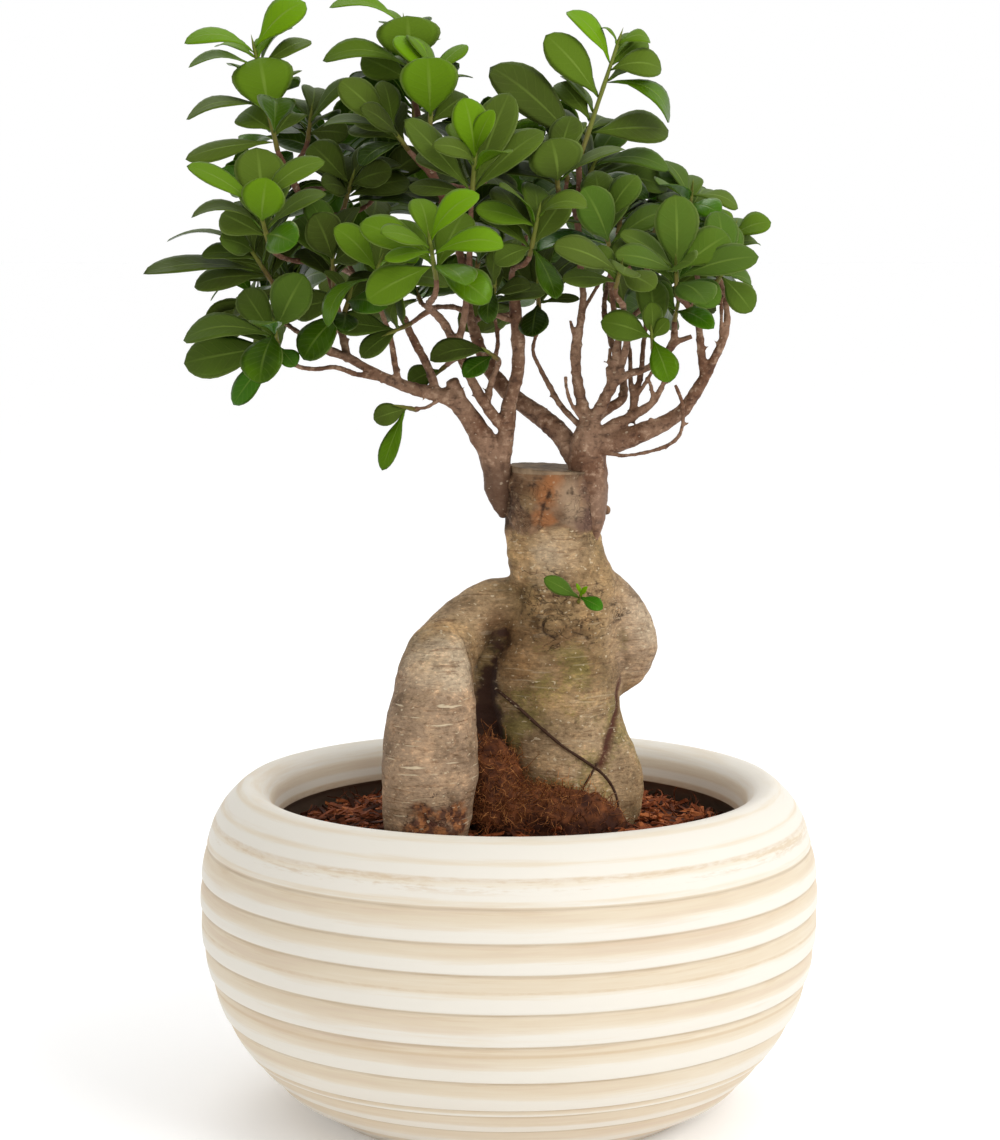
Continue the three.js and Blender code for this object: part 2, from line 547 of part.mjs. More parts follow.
    base: [-24, 12, 384], apex: [-24, 17, 394], from: ['left', 'topStem', 0.2], fill: 7, leaves: [],
  },
  inner_low_far_left: {
    base: [-92, 10, 362], apex: [-99, 14, 367], from: ['left', 'sideStem', 0.12], fill: 6, leaves: [],
  },
  inner_right: {
    base: [48, 16, 388], apex: [50, 22, 399], from: ['right', 'sideRiser', 1], fill: 7, leaves: [],
  },
  inner_low_centre: {
    base: [-14, 6, 372], apex: [-12, 10, 382], from: ['right', 'longLeft', 1], fill: 6, leaves: [],
  },
  rear_far_left: {
    base: [-104, 40, 390], apex: [-110, 48, 402], from: ['left', 'sideStem', 0.55], fill: 9, leaves: [],
  },
  rear_upper_left: {
    base: [-78, 50, 414], apex: [-80, 58, 427], from: ['left', 'sideStem', 0.7], fill: 9, leaves: [],
  },
  rear_top: {
    base: [-42, 40, 434], apex: [-43, 48, 448], from: ['left', 'topStem', 0.8], fill: 9, leaves: [],
  },
  rear_centre_top: {
    base: [-10, 40, 412], apex: [-8, 50, 424], from: ['left', 'topStem', 0.45], fill: 9, leaves: [],
  },
  rear_right_top: {
    base: [26, 48, 410], apex: [28, 58, 422], from: ['right', 'topStem', 0.5], fill: 9, leaves: [],
  },
  rear_right: {
    base: [64, 40, 384], apex: [68, 50, 394], from: ['right', 'sideRiser', 1], fill: 9, leaves: [],
  },
  rear_far_right: {
    base: [93, 28, 366], apex: [98, 38, 374], from: ['right', 'longRight', 0.93], fill: 9, leaves: [],
  },
  rear_low_right: {
    base: [48, 74, 372], apex: [50, 86, 380], from: ['right', 'rearRiser', 1], fill: 9, leaves: [],
  },
  rear_centre: {
    base: [8, 78, 386], apex: [8, 90, 396], from: ['right', 'longLeft', 0.92], fill: 9, leaves: [],
  },
  rear_middle_left: {
    base: [-36, 80, 392], apex: [-38, 92, 402], from: ['right', 'longLeft', 1], fill: 9, leaves: [],
  },
  rear_lower_left: {
    base: [-74, 76, 372], apex: [-80, 88, 380], from: ['left', 'sideStem', 0.35], fill: 9, leaves: [],
  },
  rear_low_far_left: {
    base: [-106, 34, 352], apex: [-114, 42, 358], from: ['left', 'low', 0.85], fill: 9, leaves: [],
  },
  rear_under_left: {
    base: [-40, 50, 356], apex: [-43, 62, 362], from: ['right', 'longLeft', 0.8], fill: 8, leaves: [],
  },
  rear_under_right: {
    base: [3, 46, 353], apex: [4, 58, 360], from: ['right', 'longLeft', 0.75], fill: 7, leaves: [],
  },
  rear_side_right: {
    base: [66, 22, 358], apex: [74, 30, 363], from: ['right', 'backRiser', 1], fill: 8, leaves: [],
  },
};

// A blade's half width along its midrib, as a share of its full half width.
const bladeRings = [0.32, 0.68];
const stalkShare = 0.12;
const stalkHalfWidth = 0.8;

function bladeHalfWidth(t, width) {
  if (t <= stalkShare) {
    return stalkHalfWidth;
  }
  const along = (t - stalkShare) / (1 - stalkShare);
  return Math.max(width / 2 * Math.sin(Math.PI * along ** 1.35) ** 0.75, 0.5);
}

// A leaf from its base to its tip, with its upper face along normal and its midrib arched that way.
function makeLeaf(base, tip, normal, width, arch) {
  const axis = tip.clone().sub(base);
  const reach = axis.clone().normalize();
  const up = normal.clone().addScaledVector(reach, -normal.dot(reach)).normalize();
  return { base, axis, up, width, arch };
}

function midribAt(leaf, t) {
  return leaf.base.clone().addScaledVector(leaf.axis, t)
    .addScaledVector(leaf.up, leaf.arch * 4 * t * (1 - t));
}

function leafFrame(leaf, t) {
  const tangent = leaf.axis.clone().addScaledVector(leaf.up, leaf.arch * 4 * (1 - 2 * t)).normalize();
  const up = leaf.up.clone().addScaledVector(tangent, -leaf.up.dot(tangent)).normalize();
  return { at: midribAt(leaf, t), tangent, up };
}

// A blade pointed at both ends, with two flat sides above and a keel along its midrib below.
function leafSolid(leaf) {
  const rings = bladeRings.length + 1;
  const blade = new THREE.SphereGeometry(1, 3, rings);
  const corners = blade.getAttribute('position');
  for (let i = 0; i < corners.count; i += 1) {
    const ring = Math.round(Math.acos(THREE.MathUtils.clamp(corners.getY(i), -1, 1)) / Math.PI * rings);
    const t = [0, ...bladeRings, 1][ring];
    const { at, tangent, up } = leafFrame(leaf, t);
    const across = tangent.clone().cross(up);
    const size = Math.sin(ring / rings * Math.PI) || 1;
    const half = bladeHalfWidth(t, leaf.width) / Math.sin(Math.PI / 3);
    const corner = at.addScaledVector(across, corners.getZ(i) / size * half)
      .addScaledVector(up, corners.getX(i) / size * leafThickness);
    corners.setXYZ(i, corner.x, corner.y, corner.z);
  }
  return solidOf(blade);
}

// The upper face of a leaf placed by eye: turned by face degrees from the viewer's side towards the sky.
function facing(base, tip, face) {
  const reach = tip.clone().sub(base).normalize();
  const toViewer = point(0, -1, 0);
  toViewer.addScaledVector(reach, -toViewer.dot(reach)).normalize();
  const skyward = toViewer.clone().cross(reach);
  if (skyward.z < 0) {
    skyward.negate();
  }
  const turn = THREE.MathUtils.degToRad(face);
  return toViewer.multiplyScalar(Math.cos(turn)).addScaledVector(skyward, Math.sin(turn));
}

// Places over a blade, for keeping leaves apart.
function bladePoints(leaf) {
  const points = [];
  for (const t of [0.28, 0.42, 0.56, 0.7, 0.84, 1]) {
    const { at, tangent, up } = leafFrame(leaf, t);
    const across = up.cross(tangent);
    const half = bladeHalfWidth(t, leaf.width);
    for (const share of [-1, -0.5, 0, 0.5, 1]) {
      points.push(at.clone().addScaledVector(across, share * half));
    }
  }
  return points;
}

const shootList = Object.entries(shoots).map(([name, entry]) => {
  const base = point(...entry.base);
  const apex = point(...entry.apex);
  const stem = apex.clone().sub(base);
  return { name, base, apex, stem, from: entry.from, fill: entry.fill, placed: entry.leaves };
});

const scions = { left: leftBranches, right: rightBranches };

// The twig that carries a shoot: it leaves its branch and ends in line with the shoot's stem.
function twigCurve(shoot) {
  const [side, branch, along] = shoot.from;
  const start = limbCurve(scions[side][branch]).getPoint(along);
  const heading = limbCurve(scions[side][branch]).getTangent(along);
  const end = shoot.base.clone();
  const reach = start.distanceTo(end);
  const stemward = shoot.stem.clone().normalize();
  return new THREE.CubicBezierCurve3(
    start,
    start.clone().addScaledVector(heading, 0.35 * reach),
    end.clone().addScaledVector(stemward, -0.35 * reach),
    end,
  );
}

const branchPoints = [];
for (const side of Object.values(scions)) {
  for (const points of Object.values(side)) {
    const curve = limbCurve(points);
    const radii = points.map((entry) => entry[3]);
    const count = Math.ceil(curve.getLength() / 4);
    for (let i = 0; i <= count; i += 1) {
      branchPoints.push({ at: curve.getPoint(i / count), radius: between(radii, i / count) });
    }
  }
}
for (const shoot of shootList) {
  shoot.twig = twigCurve(shoot);
  const count = Math.ceil(shoot.twig.getLength() / 4);
  for (let i = 0; i <= count; i += 1) {
    branchPoints.push({ at: shoot.twig.getPoint(i / count), radius: stemRadius });
  }
}

// A blade has room where it comes near no branch, no other shoot's blade or stem, and not too near its own.
function hasRoom(leaf, shoot) {
  const points = bladePoints(leaf);
  const nearBranch = branchPoints.some(({ at, radius }) => at.distanceTo(shoot.base) > 7
    && points.some((spot) => spot.distanceTo(at) < radius + branchRoom));
  if (nearBranch) {
    return false;
  }
  return shootList.every((other) => {
    const room = other === shoot ? ownRoom : bladeRoom;
    if (other !== shoot) {
      for (const share of [0, 0.25, 0.5, 0.75, 1]) {
        const spot = other.base.clone().addScaledVector(other.stem, share);
        if (points.some((own) => own.distanceTo(spot) < branchRoom + stemRadius)) {
          return false;
        }
      }
    }
    return other.leaves.every((taken) => taken.points.every((spot) => points.every((own) => (
      own.distanceTo(spot) >= room
    ))));
  });
}

for (const shoot of shootList) {
  shoot.leaves = shoot.placed.map(([along, x, y, z, width, arch, face]) => {
    const onStem = Math.max(along, leafStart / shoot.stem.length());
    const base = shoot.base.clone().addScaledVector(shoot.stem, onStem);
    const tip = point(x, y, z);
    const leaf = makeLeaf(base, tip, facing(base, tip, face), width, arch);
    leaf.points = bladePoints(leaf);
    return leaf;
  });
}

// Leaves set round a stem by the golden turn, each swung or shortened until it has room.
const swings = [0, 24, -24, 48, -48, 76, -76, 104, -104, 140, 170];
const shares = [1, 0.86, 0.72, 0.6];

// The crown's outline as [x, z] seen from the front, and the open gaps in it as [low x, low z, high x,
// high z].
const crownOutline = [
  [-92, 484], [-96, 470], [-89, 462], [-80, 457], [-67, 457], [-62, 470], [-56, 476], [-60, 487],
  [-40, 486], [-33, 474], [-24, 468], [-20, 456], [-10, 450], [-4, 460], [10, 462], [22, 456],
  [18, 472], [30, 475], [34, 484], [44, 472], [60, 476], [64, 464], [71, 448], [72, 438], [62, 428],
  [84, 410], [97, 405], [98, 398], [111, 391], [104, 382], [107, 367], [96, 358], [94, 346],
  [82, 350], [76, 345], [60, 346], [52, 340], [45, 350], [36, 360], [28, 363], [16, 361], [6, 347],
  [0, 342], [-10, 344], [-20, 342], [-34, 346], [-50, 344], [-66, 340], [-84, 337], [-92, 326],
  [-112, 316], [-138, 332], [-141, 346], [-132, 356], [-118, 361], [-130, 372], [-152, 379],
  [-136, 382], [-126, 388], [-124, 400], [-133, 414], [-126, 424], [-116, 436], [-114, 446],
  [-120, 456], [-130, 468], [-126, 474], [-112, 472], [-102, 484],
];
const crownGaps = [[40, 441, 62, 454], [1, 437, 10, 445]];

// Where a place lies as the viewer sees it, measured in the plane through the bowl's axis.
function seen(spot) {
  const shrink = 1 + spot.y / viewDistance;
  return { x: spot.x / shrink, z: viewHeight + (spot.z - viewHeight + viewSlope * spot.y) / shrink };
}

function insideCrown(spot) {
  const { x, z } = seen(spot);
  if (crownGaps.some(([x0, z0, x1, z1]) => x > x0 && x < x1 && z > z0 && z < z1)) {
    return false;
  }
  let inside = false;
  crownOutline.forEach(([x1, z1], i) => {
    const [x0, z0] = crownOutline[(i || crownOutline.length) - 1];
    if ((z0 > z) !== (z1 > z) && x < x0 + (x1 - x0) * (z - z0) / (z1 - z0)) {
      inside = !inside;
    }
  });
  return inside;
}

function fillShoot(shoot, phase) {
  const stemward = shoot.stem.clone().normalize();
  const side = point(1, 0.2, 0.1).cross(stemward).normalize();
  const other = stemward.clone().cross(side);
  for (let i = 0; i < shoot.fill; i += 1) {
    const along = (i + 0.5) / shoot.fill;
    const spread = THREE.MathUtils.degToRad(THREE.MathUtils.lerp(80, 34, along));
    const base = shoot.base.clone().addScaledVector(shoot.stem, along);
    const offers = shares.flatMap((share) => swings.map((swing) => [share, swing]));
    for (const [share, swing] of offers) {
      const turn = THREE.MathUtils.degToRad(phase + i * goldenTurn + swing);
      const outward = side.clone().multiplyScalar(Math.cos(turn)).addScaledVector(other, Math.sin(turn));
      const length = fillLength * share * (1 - 0.25 * along);
      const tip = base.clone()
        .addScaledVector(stemward, Math.cos(spread) * length)
        .addScaledVector(outward, Math.sin(spread) * length);
      const leaf = makeLeaf(base, tip, stemward, 0.56 * length, 0.11 * length);
      if (bladePoints(leaf).every(insideCrown) && hasRoom(leaf, shoot)) {
        leaf.points = bladePoints(leaf);
        shoot.leaves.push(leaf);
        break;
      }
    }
  }
}
shootList.forEach((shoot, i) => fillShoot(shoot, i * 67));

function stemSolid(shoot) {
  const start = shoot.base.clone().addScaledVector(shoot.stem.clone().normalize(), gap);
  const tip = shoot.apex.clone().addScaledVector(shoot.stem.clone().normalize(), 5);
  const curve = new THREE.LineCurve3(start, tip);
  return sweep(framesAlong(curve, 1, (t) => stemRadius * (1 - 0.7 * t)), 4);
}

function shootSolid(shoot) {
  return joined([stemSolid(shoot), ...shoot.leaves.map(leafSolid)]);
}

function scionLimb(points, grow = 0) {
  return limb(points, points[0][3] > 3 || points.length > 8 ? 6 : 3, grow);
}

function scionSolid(side) {
  const limbs = Object.values(scions[side]).map((points) => scionLimb(points));
  const twigs = shootList.filter((shoot) => shoot.from[0] === side).map((shoot) => (
    sweep(framesAlong(shoot.twig, 3, () => stemRadius), 3)
  ));
  return joined([...limbs, ...twigs]);
}

// The small two-leaved shoot on the front of the trunk.
function trunkShoot() {
  const base = point(30, -21.6, 228);
  const apex = point(31, -30, 233);
  const stem = sweep(framesAlong(new THREE.LineCurve3(base, apex), 1, (t) => 1 - 0.4 * t), 6);
  const leaves = [
    [0.6, 15.5, -36, 241, 7.5, 1, 15], [0.7, 40, -34, 228, 6.5, 1, 20],
    [0.9, 33, -35, 237, 2.5, 0.5, 30],
  ];
  return joined([stem, ...leaves.map(([along, x, y, z, width, arch, face]) => {
    const root = base.clone().lerp(apex, along);
    const tip = point(x, y, z);
    return leafSolid(makeLeaf(root, tip, facing(root, tip, face), width, arch));
  })]);
}

const stockBed = rootstock(gap);
const fibreBed = fibreMass(gap);
const graftBed = joined([scionLimb(leftBranches.wedge, gap), scionLimb(rightBranches.wedge, gap),
  scionLimb(rightBranches.longLeft, gap), scionLimb(rightBranches.longRight, gap)]);

function growingMedium() {
  const edge = innerRadiusAt(96) - gap;
  const profile = [
    [0, floorThickness + gap], [72 - gap, floorThickness + gap],
    ...[30, 56, 92].map((z) => [innerRadiusAt(z) - gap, z + gap / 2]),
    [edge - 13, soilEdgeHeight], [80, soilEdgeHeight + 4], [50, soilMiddleHeight], [0, soilMiddleHeight],
  ];
  return mainBody(turned(profile, roundSides).subtract(stockBed).subtract(fibreBed));
}

function barkMulch() {
  const edge = innerRadiusAt(96) - 13;
  const lift = gap + 0.2;
  const profile = [
    [0, soilMiddleHeight + lift], [50, soilMiddleHeight + lift], [80, soilEdgeHeight + 4 + lift],
    [edge - 1, soilEdgeHeight + lift], [edge - 4, soilEdgeHeight + mulchThickness - 1],
    [86, soilEdgeHeight + 4 + mulchThickness], [64, soilMiddleHeight + mulchThickness],
    [46, soilMiddleHeight + mulchThickness + 3], [0, soilMiddleHeight + mulchThickness + 4],
  ];
  return mainBody(turned(profile, roundSides).subtract(stockBed).subtract(fibreBed));
}

place('bowl', bowl(), 0xe9e1d2, 0.7);
place('growing_medium', growingMedium(), 0x3a2a20, 0.95);
place('bark_mulch', barkMulch(), 0x7a3d26, 0.9);
place('root_fibre_mass', mainBody(fibreMass().subtract(stockBed)), 0x3b2018, 0.95);
place('rootstock', mainBody(rootstock().subtract(graftBed)), 0x9c8a68, 0.75);
place('left_scion', scionSolid('left'), 0x7a5640, 0.75);
place('right_scion', scionSolid('right'), 0x7a5640, 0.75);
place('trunk_shoot', trunkShoot(), 0x3f8a35, 0.45);
for (const shoot of shootList) {
  place(`${shoot.name}_shoot`, shootSolid(shoot), 0x4d7f1c, 0.4);
}

export default group;
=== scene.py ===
import math
import random

import bmesh
import bpy
import numpy as np
from mathutils import Matrix, Vector, noise
from mathutils.bvhtree import BVHTree


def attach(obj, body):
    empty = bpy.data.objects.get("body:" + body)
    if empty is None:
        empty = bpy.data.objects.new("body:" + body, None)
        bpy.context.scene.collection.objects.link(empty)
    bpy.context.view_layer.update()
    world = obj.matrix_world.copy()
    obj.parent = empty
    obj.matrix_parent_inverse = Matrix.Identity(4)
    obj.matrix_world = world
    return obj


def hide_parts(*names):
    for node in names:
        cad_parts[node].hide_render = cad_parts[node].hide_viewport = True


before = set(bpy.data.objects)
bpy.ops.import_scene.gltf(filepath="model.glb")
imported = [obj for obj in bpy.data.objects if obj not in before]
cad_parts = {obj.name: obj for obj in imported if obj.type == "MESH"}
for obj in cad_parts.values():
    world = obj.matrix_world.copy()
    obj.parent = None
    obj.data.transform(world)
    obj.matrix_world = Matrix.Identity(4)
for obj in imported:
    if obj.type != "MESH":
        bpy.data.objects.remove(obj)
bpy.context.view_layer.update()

# All tables below are in millimetres, as the plant was measured; Blender works in metres.
mm = 0.001

print("camera, floor and light")

studio = {
    "cameraPlace": (0, -1289.3, 406.5),
    "cameraPitch": 7.36,             # degrees below the horizon
    "focalLength": 93.3,
    "axisShift": -0.0079,            # the bowl's axis stands a little right of the picture's middle
    "floorSize": 30,
    "floorColour": (0.96, 0.96, 0.96, 1),
    "world": {                       # how bright the studio is on each side
        "left": 0.38, "right": 1.06, "above": 0.27, "behind": 1.0, "horizon": 1.0,
    },
    "floorGlow": 0.11,               # a light table, so that it stays white to the horizon
    "lamps": [                       # place, size and power of each soft lamp; all look at the crown
        ((0.95, -1.05, 1.15), 0.6, 8),
        ((-0.3, 1.1, 1.5), 0.8, 4),
    ],
    "lampAim": (0, 0, 0.28),
}

camera = bpy.data.objects.new("camera", bpy.data.cameras.new("camera"))
camera.data.lens = studio["focalLength"]
camera.data.sensor_width = 36
camera.data.shift_x = studio["axisShift"]
camera.data.clip_end = 50
camera.location = Vector(studio["cameraPlace"]) * mm
camera.rotation_euler = (math.radians(90 - studio["cameraPitch"]), 0, 0)
bpy.context.scene.collection.objects.link(camera)
bpy.context.scene.camera = camera

bpy.context.scene.view_settings.view_transform = "Standard"

for i, (place, size, power) in enumerate(studio["lamps"]):
    lamp = bpy.data.objects.new(f"lamp{i}", bpy.data.lights.new(f"lamp{i}", "AREA"))
    lamp.data.size = size
    lamp.data.energy = power
    lamp.location = place
    lamp.rotation_euler = (Vector(studio["lampAim"]) - lamp.location).to_track_quat("-Z", "Y").to_euler()
    bpy.context.scene.collection.objects.link(lamp)


class Wire:                          # one node socket that can be used in arithmetic
    def __init__(self, socket):
        self.socket = socket

    def node(self, kind, settings=None, inputs=None, output=0):
        made = self.socket.id_data.nodes.new(kind)
        for name, value in (settings or {}).items():
            if name == "stops":
                for i, (place, colour) in enumerate(value):
                    elements = made.color_ramp.elements
                    stop = elements[i] if i < 2 else elements.new(place)
                    stop.position = place
                    stop.color = colour
            else:
                setattr(made, name, value)
        for name, value in (inputs or {}).items():
            if isinstance(value, Wire):
                made.id_data.links.new(value.socket, made.inputs[name])
            else:
                made.inputs[name].default_value = value
        return Wire(made.outputs[output])

    def maths(self, operation, first, second=0.0):
        return self.node("ShaderNodeMath", {"operation": operation}, {0: first, 1: second})

    def __add__(self, other):
        return self.maths("ADD", self, other)

    def __sub__(self, other):
        return self.maths("SUBTRACT", self, other)

    def __rsub__(self, other):
        return self.maths("SUBTRACT", other, self)

    def __mul__(self, other):
        return self.maths("MULTIPLY", self, other)

    def __abs__(self):
        return self.maths("ABSOLUTE", self)

    def __or__(self, other):         # the greater of two masks
        return self.maths("MAXIMUM", self, other)

    __radd__ = __add__
    __rmul__ = __mul__

    def rise(self, low, high, start=0.0, end=1.0):
        limits = {"Value": self, "From Min": low, "From Max": high, "To Min": start, "To Max": end}
        return self.node("ShaderNodeMapRange", {"interpolation_type": "SMOOTHSTEP"}, limits)


def grain(place, scale, stretch=(1, 1, 1), detail=2.0, roughness=0.5, distortion=0.0):
    drawn = place.node("ShaderNodeVectorMath", {"operation": "MULTIPLY"}, {0: place, 1: stretch})
    return place.node("ShaderNodeTexNoise", {}, {
        "Vector": drawn, "Scale": scale, "Detail": detail, "Roughness": roughness, "Distortion": distortion,
    })


def mixed(mask, low, high, blend="MIX"):
    settings = {"data_type": "RGBA", "blend_type": blend}
    return mask.node("ShaderNodeMix", settings, {0: mask, 6: low, 7: high}, 2)


def layered(colour, look, layers, blend="MIX"):      # paints the look's colours one over the other
    for mask, name in layers:
        colour = mixed(mask, colour, look[name], blend)
    return colour


def spot(place, centre, radius, edge=0.35, wobble=None):
    settings = {"operation": "DISTANCE"}
    away = place.node("ShaderNodeVectorMath", settings, {0: place, 1: tuple(Vector(centre) * mm)}, 1)
    if wobble:
        away = away + wobble
    return away.rise(radius * mm * (1 - edge), radius * mm * (1 + edge), 1.0, 0.0)


def heightOf(place):
    return place.node("ShaderNodeSeparateXYZ", {}, {0: place}, 2)


def painted(name, plain):            # a new material; plain holds the values that are the same all over
    material = bpy.data.materials.new(name)
    material.use_nodes = True
    shader = material.node_tree.nodes["Principled BSDF"]
    for socket, value in plain.items():
        shader.inputs[socket].default_value = value
    place = Wire(material.node_tree.nodes.new("ShaderNodeTexCoord").outputs["Object"])
    return material, shader, place


def feed(shader, wires):
    for socket, wire in wires.items():
        shader.id_data.links.new(wire.socket, shader.inputs[socket])


def bumped(height, strength, distance):
    inputs = {"Strength": strength, "Distance": distance * mm, "Height": height}
    return height.node("ShaderNodeBump", {}, inputs)


def attributeOf(place, name, output="Fac"):
    return place.node("ShaderNodeAttribute", {"attribute_name": name}, {}, output)


def lightWorld():
    sides = studio["world"]
    world = bpy.data.worlds.new("softbox")
    world.use_nodes = True
    way = Wire(world.node_tree.nodes.new("ShaderNodeTexCoord").outputs["Generated"])
    across, depth, height = (way.node("ShaderNodeSeparateXYZ", {}, {0: way}, i) for i in range(3))
    light = across.rise(-0.9, 0.9, sides["left"], sides["right"]) + height.rise(0.3, 0.95) * sides["above"]
    light = light + (sides["behind"] - light) * depth.rise(0.35, 0.8)
    # white as the floor near the horizon, all the way round
    light = light + (sides["horizon"] - light) * height.rise(0.3, 0.2)
    world.node_tree.links.new(light.socket, world.node_tree.nodes["Background"].inputs["Strength"])
    world.node_tree.nodes["Background"].inputs["Color"].default_value = (1, 1, 1, 1)
    bpy.context.scene.world = world


lightWorld()


def finishPiece(bm, name, materials, nodes, smooth=True):
    mesh = bpy.data.meshes.new(name)
    bm.to_mesh(mesh)
    bm.free()
    piece = bpy.data.objects.new(name, mesh)
    bpy.context.scene.collection.objects.link(piece)
    for material in materials:
        mesh.materials.append(material)
    mesh.polygons.foreach_set("use_smooth", [smooth] * len(mesh.polygons))
    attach(piece, "root")
    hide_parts(*nodes)
    return piece


def spunShape(profile, steps, layers):
    # profile: (radius, height, {layer: value}) from the axis round to the axis again
    bm = bmesh.new()
    made = {layer: bm.verts.layers.float.new(layer) for layer in layers}
    corners = []
    for radius, height, values in profile:
        corner = bm.verts.new((radius * mm, 0, height * mm))
        for layer, value in values.items():
            corner[made[layer]] = value
        corners.append(corner)
    edges = [bm.edges.new(pair) for pair in zip(corners, corners[1:])]
    bmesh.ops.spin(bm, geom=corners + edges, cent=(0, 0, 0), axis=(0, 0, 1), dvec=(0, 0, 0),
                   angle=math.tau, steps=steps, use_merge=True)
    bmesh.ops.remove_doubles(bm, verts=bm.verts, dist=0.01 * mm)
    bmesh.ops.recalc_face_normals(bm, faces=bm.faces)
    return bm


def remeshed(bm, size, rounds, factor=0.5):
    # one skin round solids that run into each other, with its steps smoothed away
    mesh = bpy.data.meshes.new("skin")
    bm.to_mesh(mesh)
    bm.free()
    holder = bpy.data.objects.new("skin", mesh)
    bpy.context.scene.collection.objects.link(holder)
    shell = holder.modifiers.new("skin", "REMESH")
    shell.mode = "VOXEL"
    shell.voxel_size = size * mm
    evaluated = holder.evaluated_get(bpy.context.evaluated_depsgraph_get())
    skin = bmesh.new()
    skin.from_mesh(evaluated.to_mesh())
    evaluated.to_mesh_clear()
    bpy.data.objects.remove(holder)
    bpy.data.meshes.remove(mesh)
    for _ in range(rounds):
        bmesh.ops.smooth_vert(skin, verts=skin.verts, factor=factor, use_axis_x=True, use_axis_y=True,
                              use_axis_z=True)
    return skin


# The skeleton's curves: the same ones the frame was built on.
def smoothCurve(points):             # a centripetal spline through rows [x, y, z, ...]; returns place(t)
    rows = [Vector(row[:3]) for row in points]
    count = len(rows)

    def place(t):
        where = (count - 1) * t
        low = min(int(where), count - 2)
        share = where - low
        b, c = rows[low], rows[low + 1]
        a = rows[low - 1] if low > 0 else rows[0] * 2 - rows[1]
        d = rows[low + 2] if low + 2 < count else rows[-1] * 2 - rows[-2]
        before, along, after = ((p - q).length_squared ** 0.25 for p, q in ((a, b), (b, c), (c, d)))
        start = ((b - a) / before - (c - a) / (before + along) + (c - b) / along) * along
        end = ((c - b) / along - (d - b) / (along + after) + (d - c) / after) * along
        cube = b * 2 - c * 2 + start + end
        square = c * 3 - b * 3 - start * 2 - end
        return b + start * share + square * share ** 2 + cube * share ** 3

    return place


def bezierCurve(a, b, c, d):
    def place(t):
        s = 1 - t
        return a * s ** 3 + b * (3 * s * s * t) + c * (3 * s * t * t) + d * t ** 3

    return place


def straightCurve(a, b):
    return lambda t: a.lerp(b, t)


def headingOf(curve, t):
    return (curve(min(t + 0.0001, 1)) - curve(max(t - 0.0001, 0))).normalized()


def lengthOf(curve):
    places = [curve(i / 200) for i in range(201)]
    return sum((q - p).length for p, q in zip(places, places[1:]))


def between(values, t):
    where = t * (len(values) - 1)
    low = min(int(where), len(values) - 2)
    return values[low] + (values[low + 1] - values[low]) * (where - low)


def addTube(bm, curve, radiusAt, steps, sides, squeeze=1.0):
    # a circle drawn out along a curve, closed at both ends
    up = Vector((0.31, 0.9, 0.27))
    tube = bmesh.new()
    made = bmesh.ops.create_circle(tube, cap_ends=True, radius=1, segments=sides)
    face = tube.faces[:][0]
    last = Matrix.Identity(4)
    for i in range(steps + 1):
        t = i / steps
        heading = headingOf(curve, t)
        up = (up - heading * up.dot(heading)).normalized()
        side = up.cross(heading)
        radius = radiusAt(t) * mm
        turn = Matrix((side * radius, up * radius * squeeze, heading * mm)).transposed()
        frameNow = Matrix.Translation(curve(t) * mm) @ turn.to_4x4()
        if i:
            drawn = bmesh.ops.extrude_face_region(tube, geom=[face])["geom"]
            face = next(item for item in drawn if isinstance(item, bmesh.types.BMFace))
            ring = [item for item in drawn if isinstance(item, bmesh.types.BMVert)]
        else:
            ring = made["verts"]
        bmesh.ops.transform(tube, matrix=frameNow @ last.inverted(), verts=ring)
        last = frameNow
    bmesh.ops.recalc_face_normals(tube, faces=tube.faces)
    pour(bm, tube)


def pour(bm, part):                  # adds one bmesh to another
    mesh = bpy.data.meshes.new("part")
    part.to_mesh(mesh)
    part.free()
    bm.from_mesh(mesh)
    bpy.data.meshes.remove(mesh)


def addBall(bm, centre, radii):
    ball = bmesh.new()
    bmesh.ops.create_icosphere(ball, subdivisions=3, radius=1)
    bmesh.ops.scale(ball, vec=Vector(radii) * mm, verts=ball.verts)
    bmesh.ops.translate(ball, vec=Vector(centre) * mm, verts=ball.verts)
    pour(bm, ball)


def addLimb(bm, points, spacing, sides, knobbly=0.0, seed=0):
    curve = smoothCurve(points)
    radii = [row[3] for row in points]
    steps = max(2, math.ceil(lengthOf(curve) / spacing))

    def radiusAt(t):
        lump = noise.noise(Vector((seed * 7.3, t * steps * spacing / 3.2, 0.5)))
        return between(radii, t) * (1 + knobbly * lump)

    addTube(bm, curve, radiusAt, steps, sides)


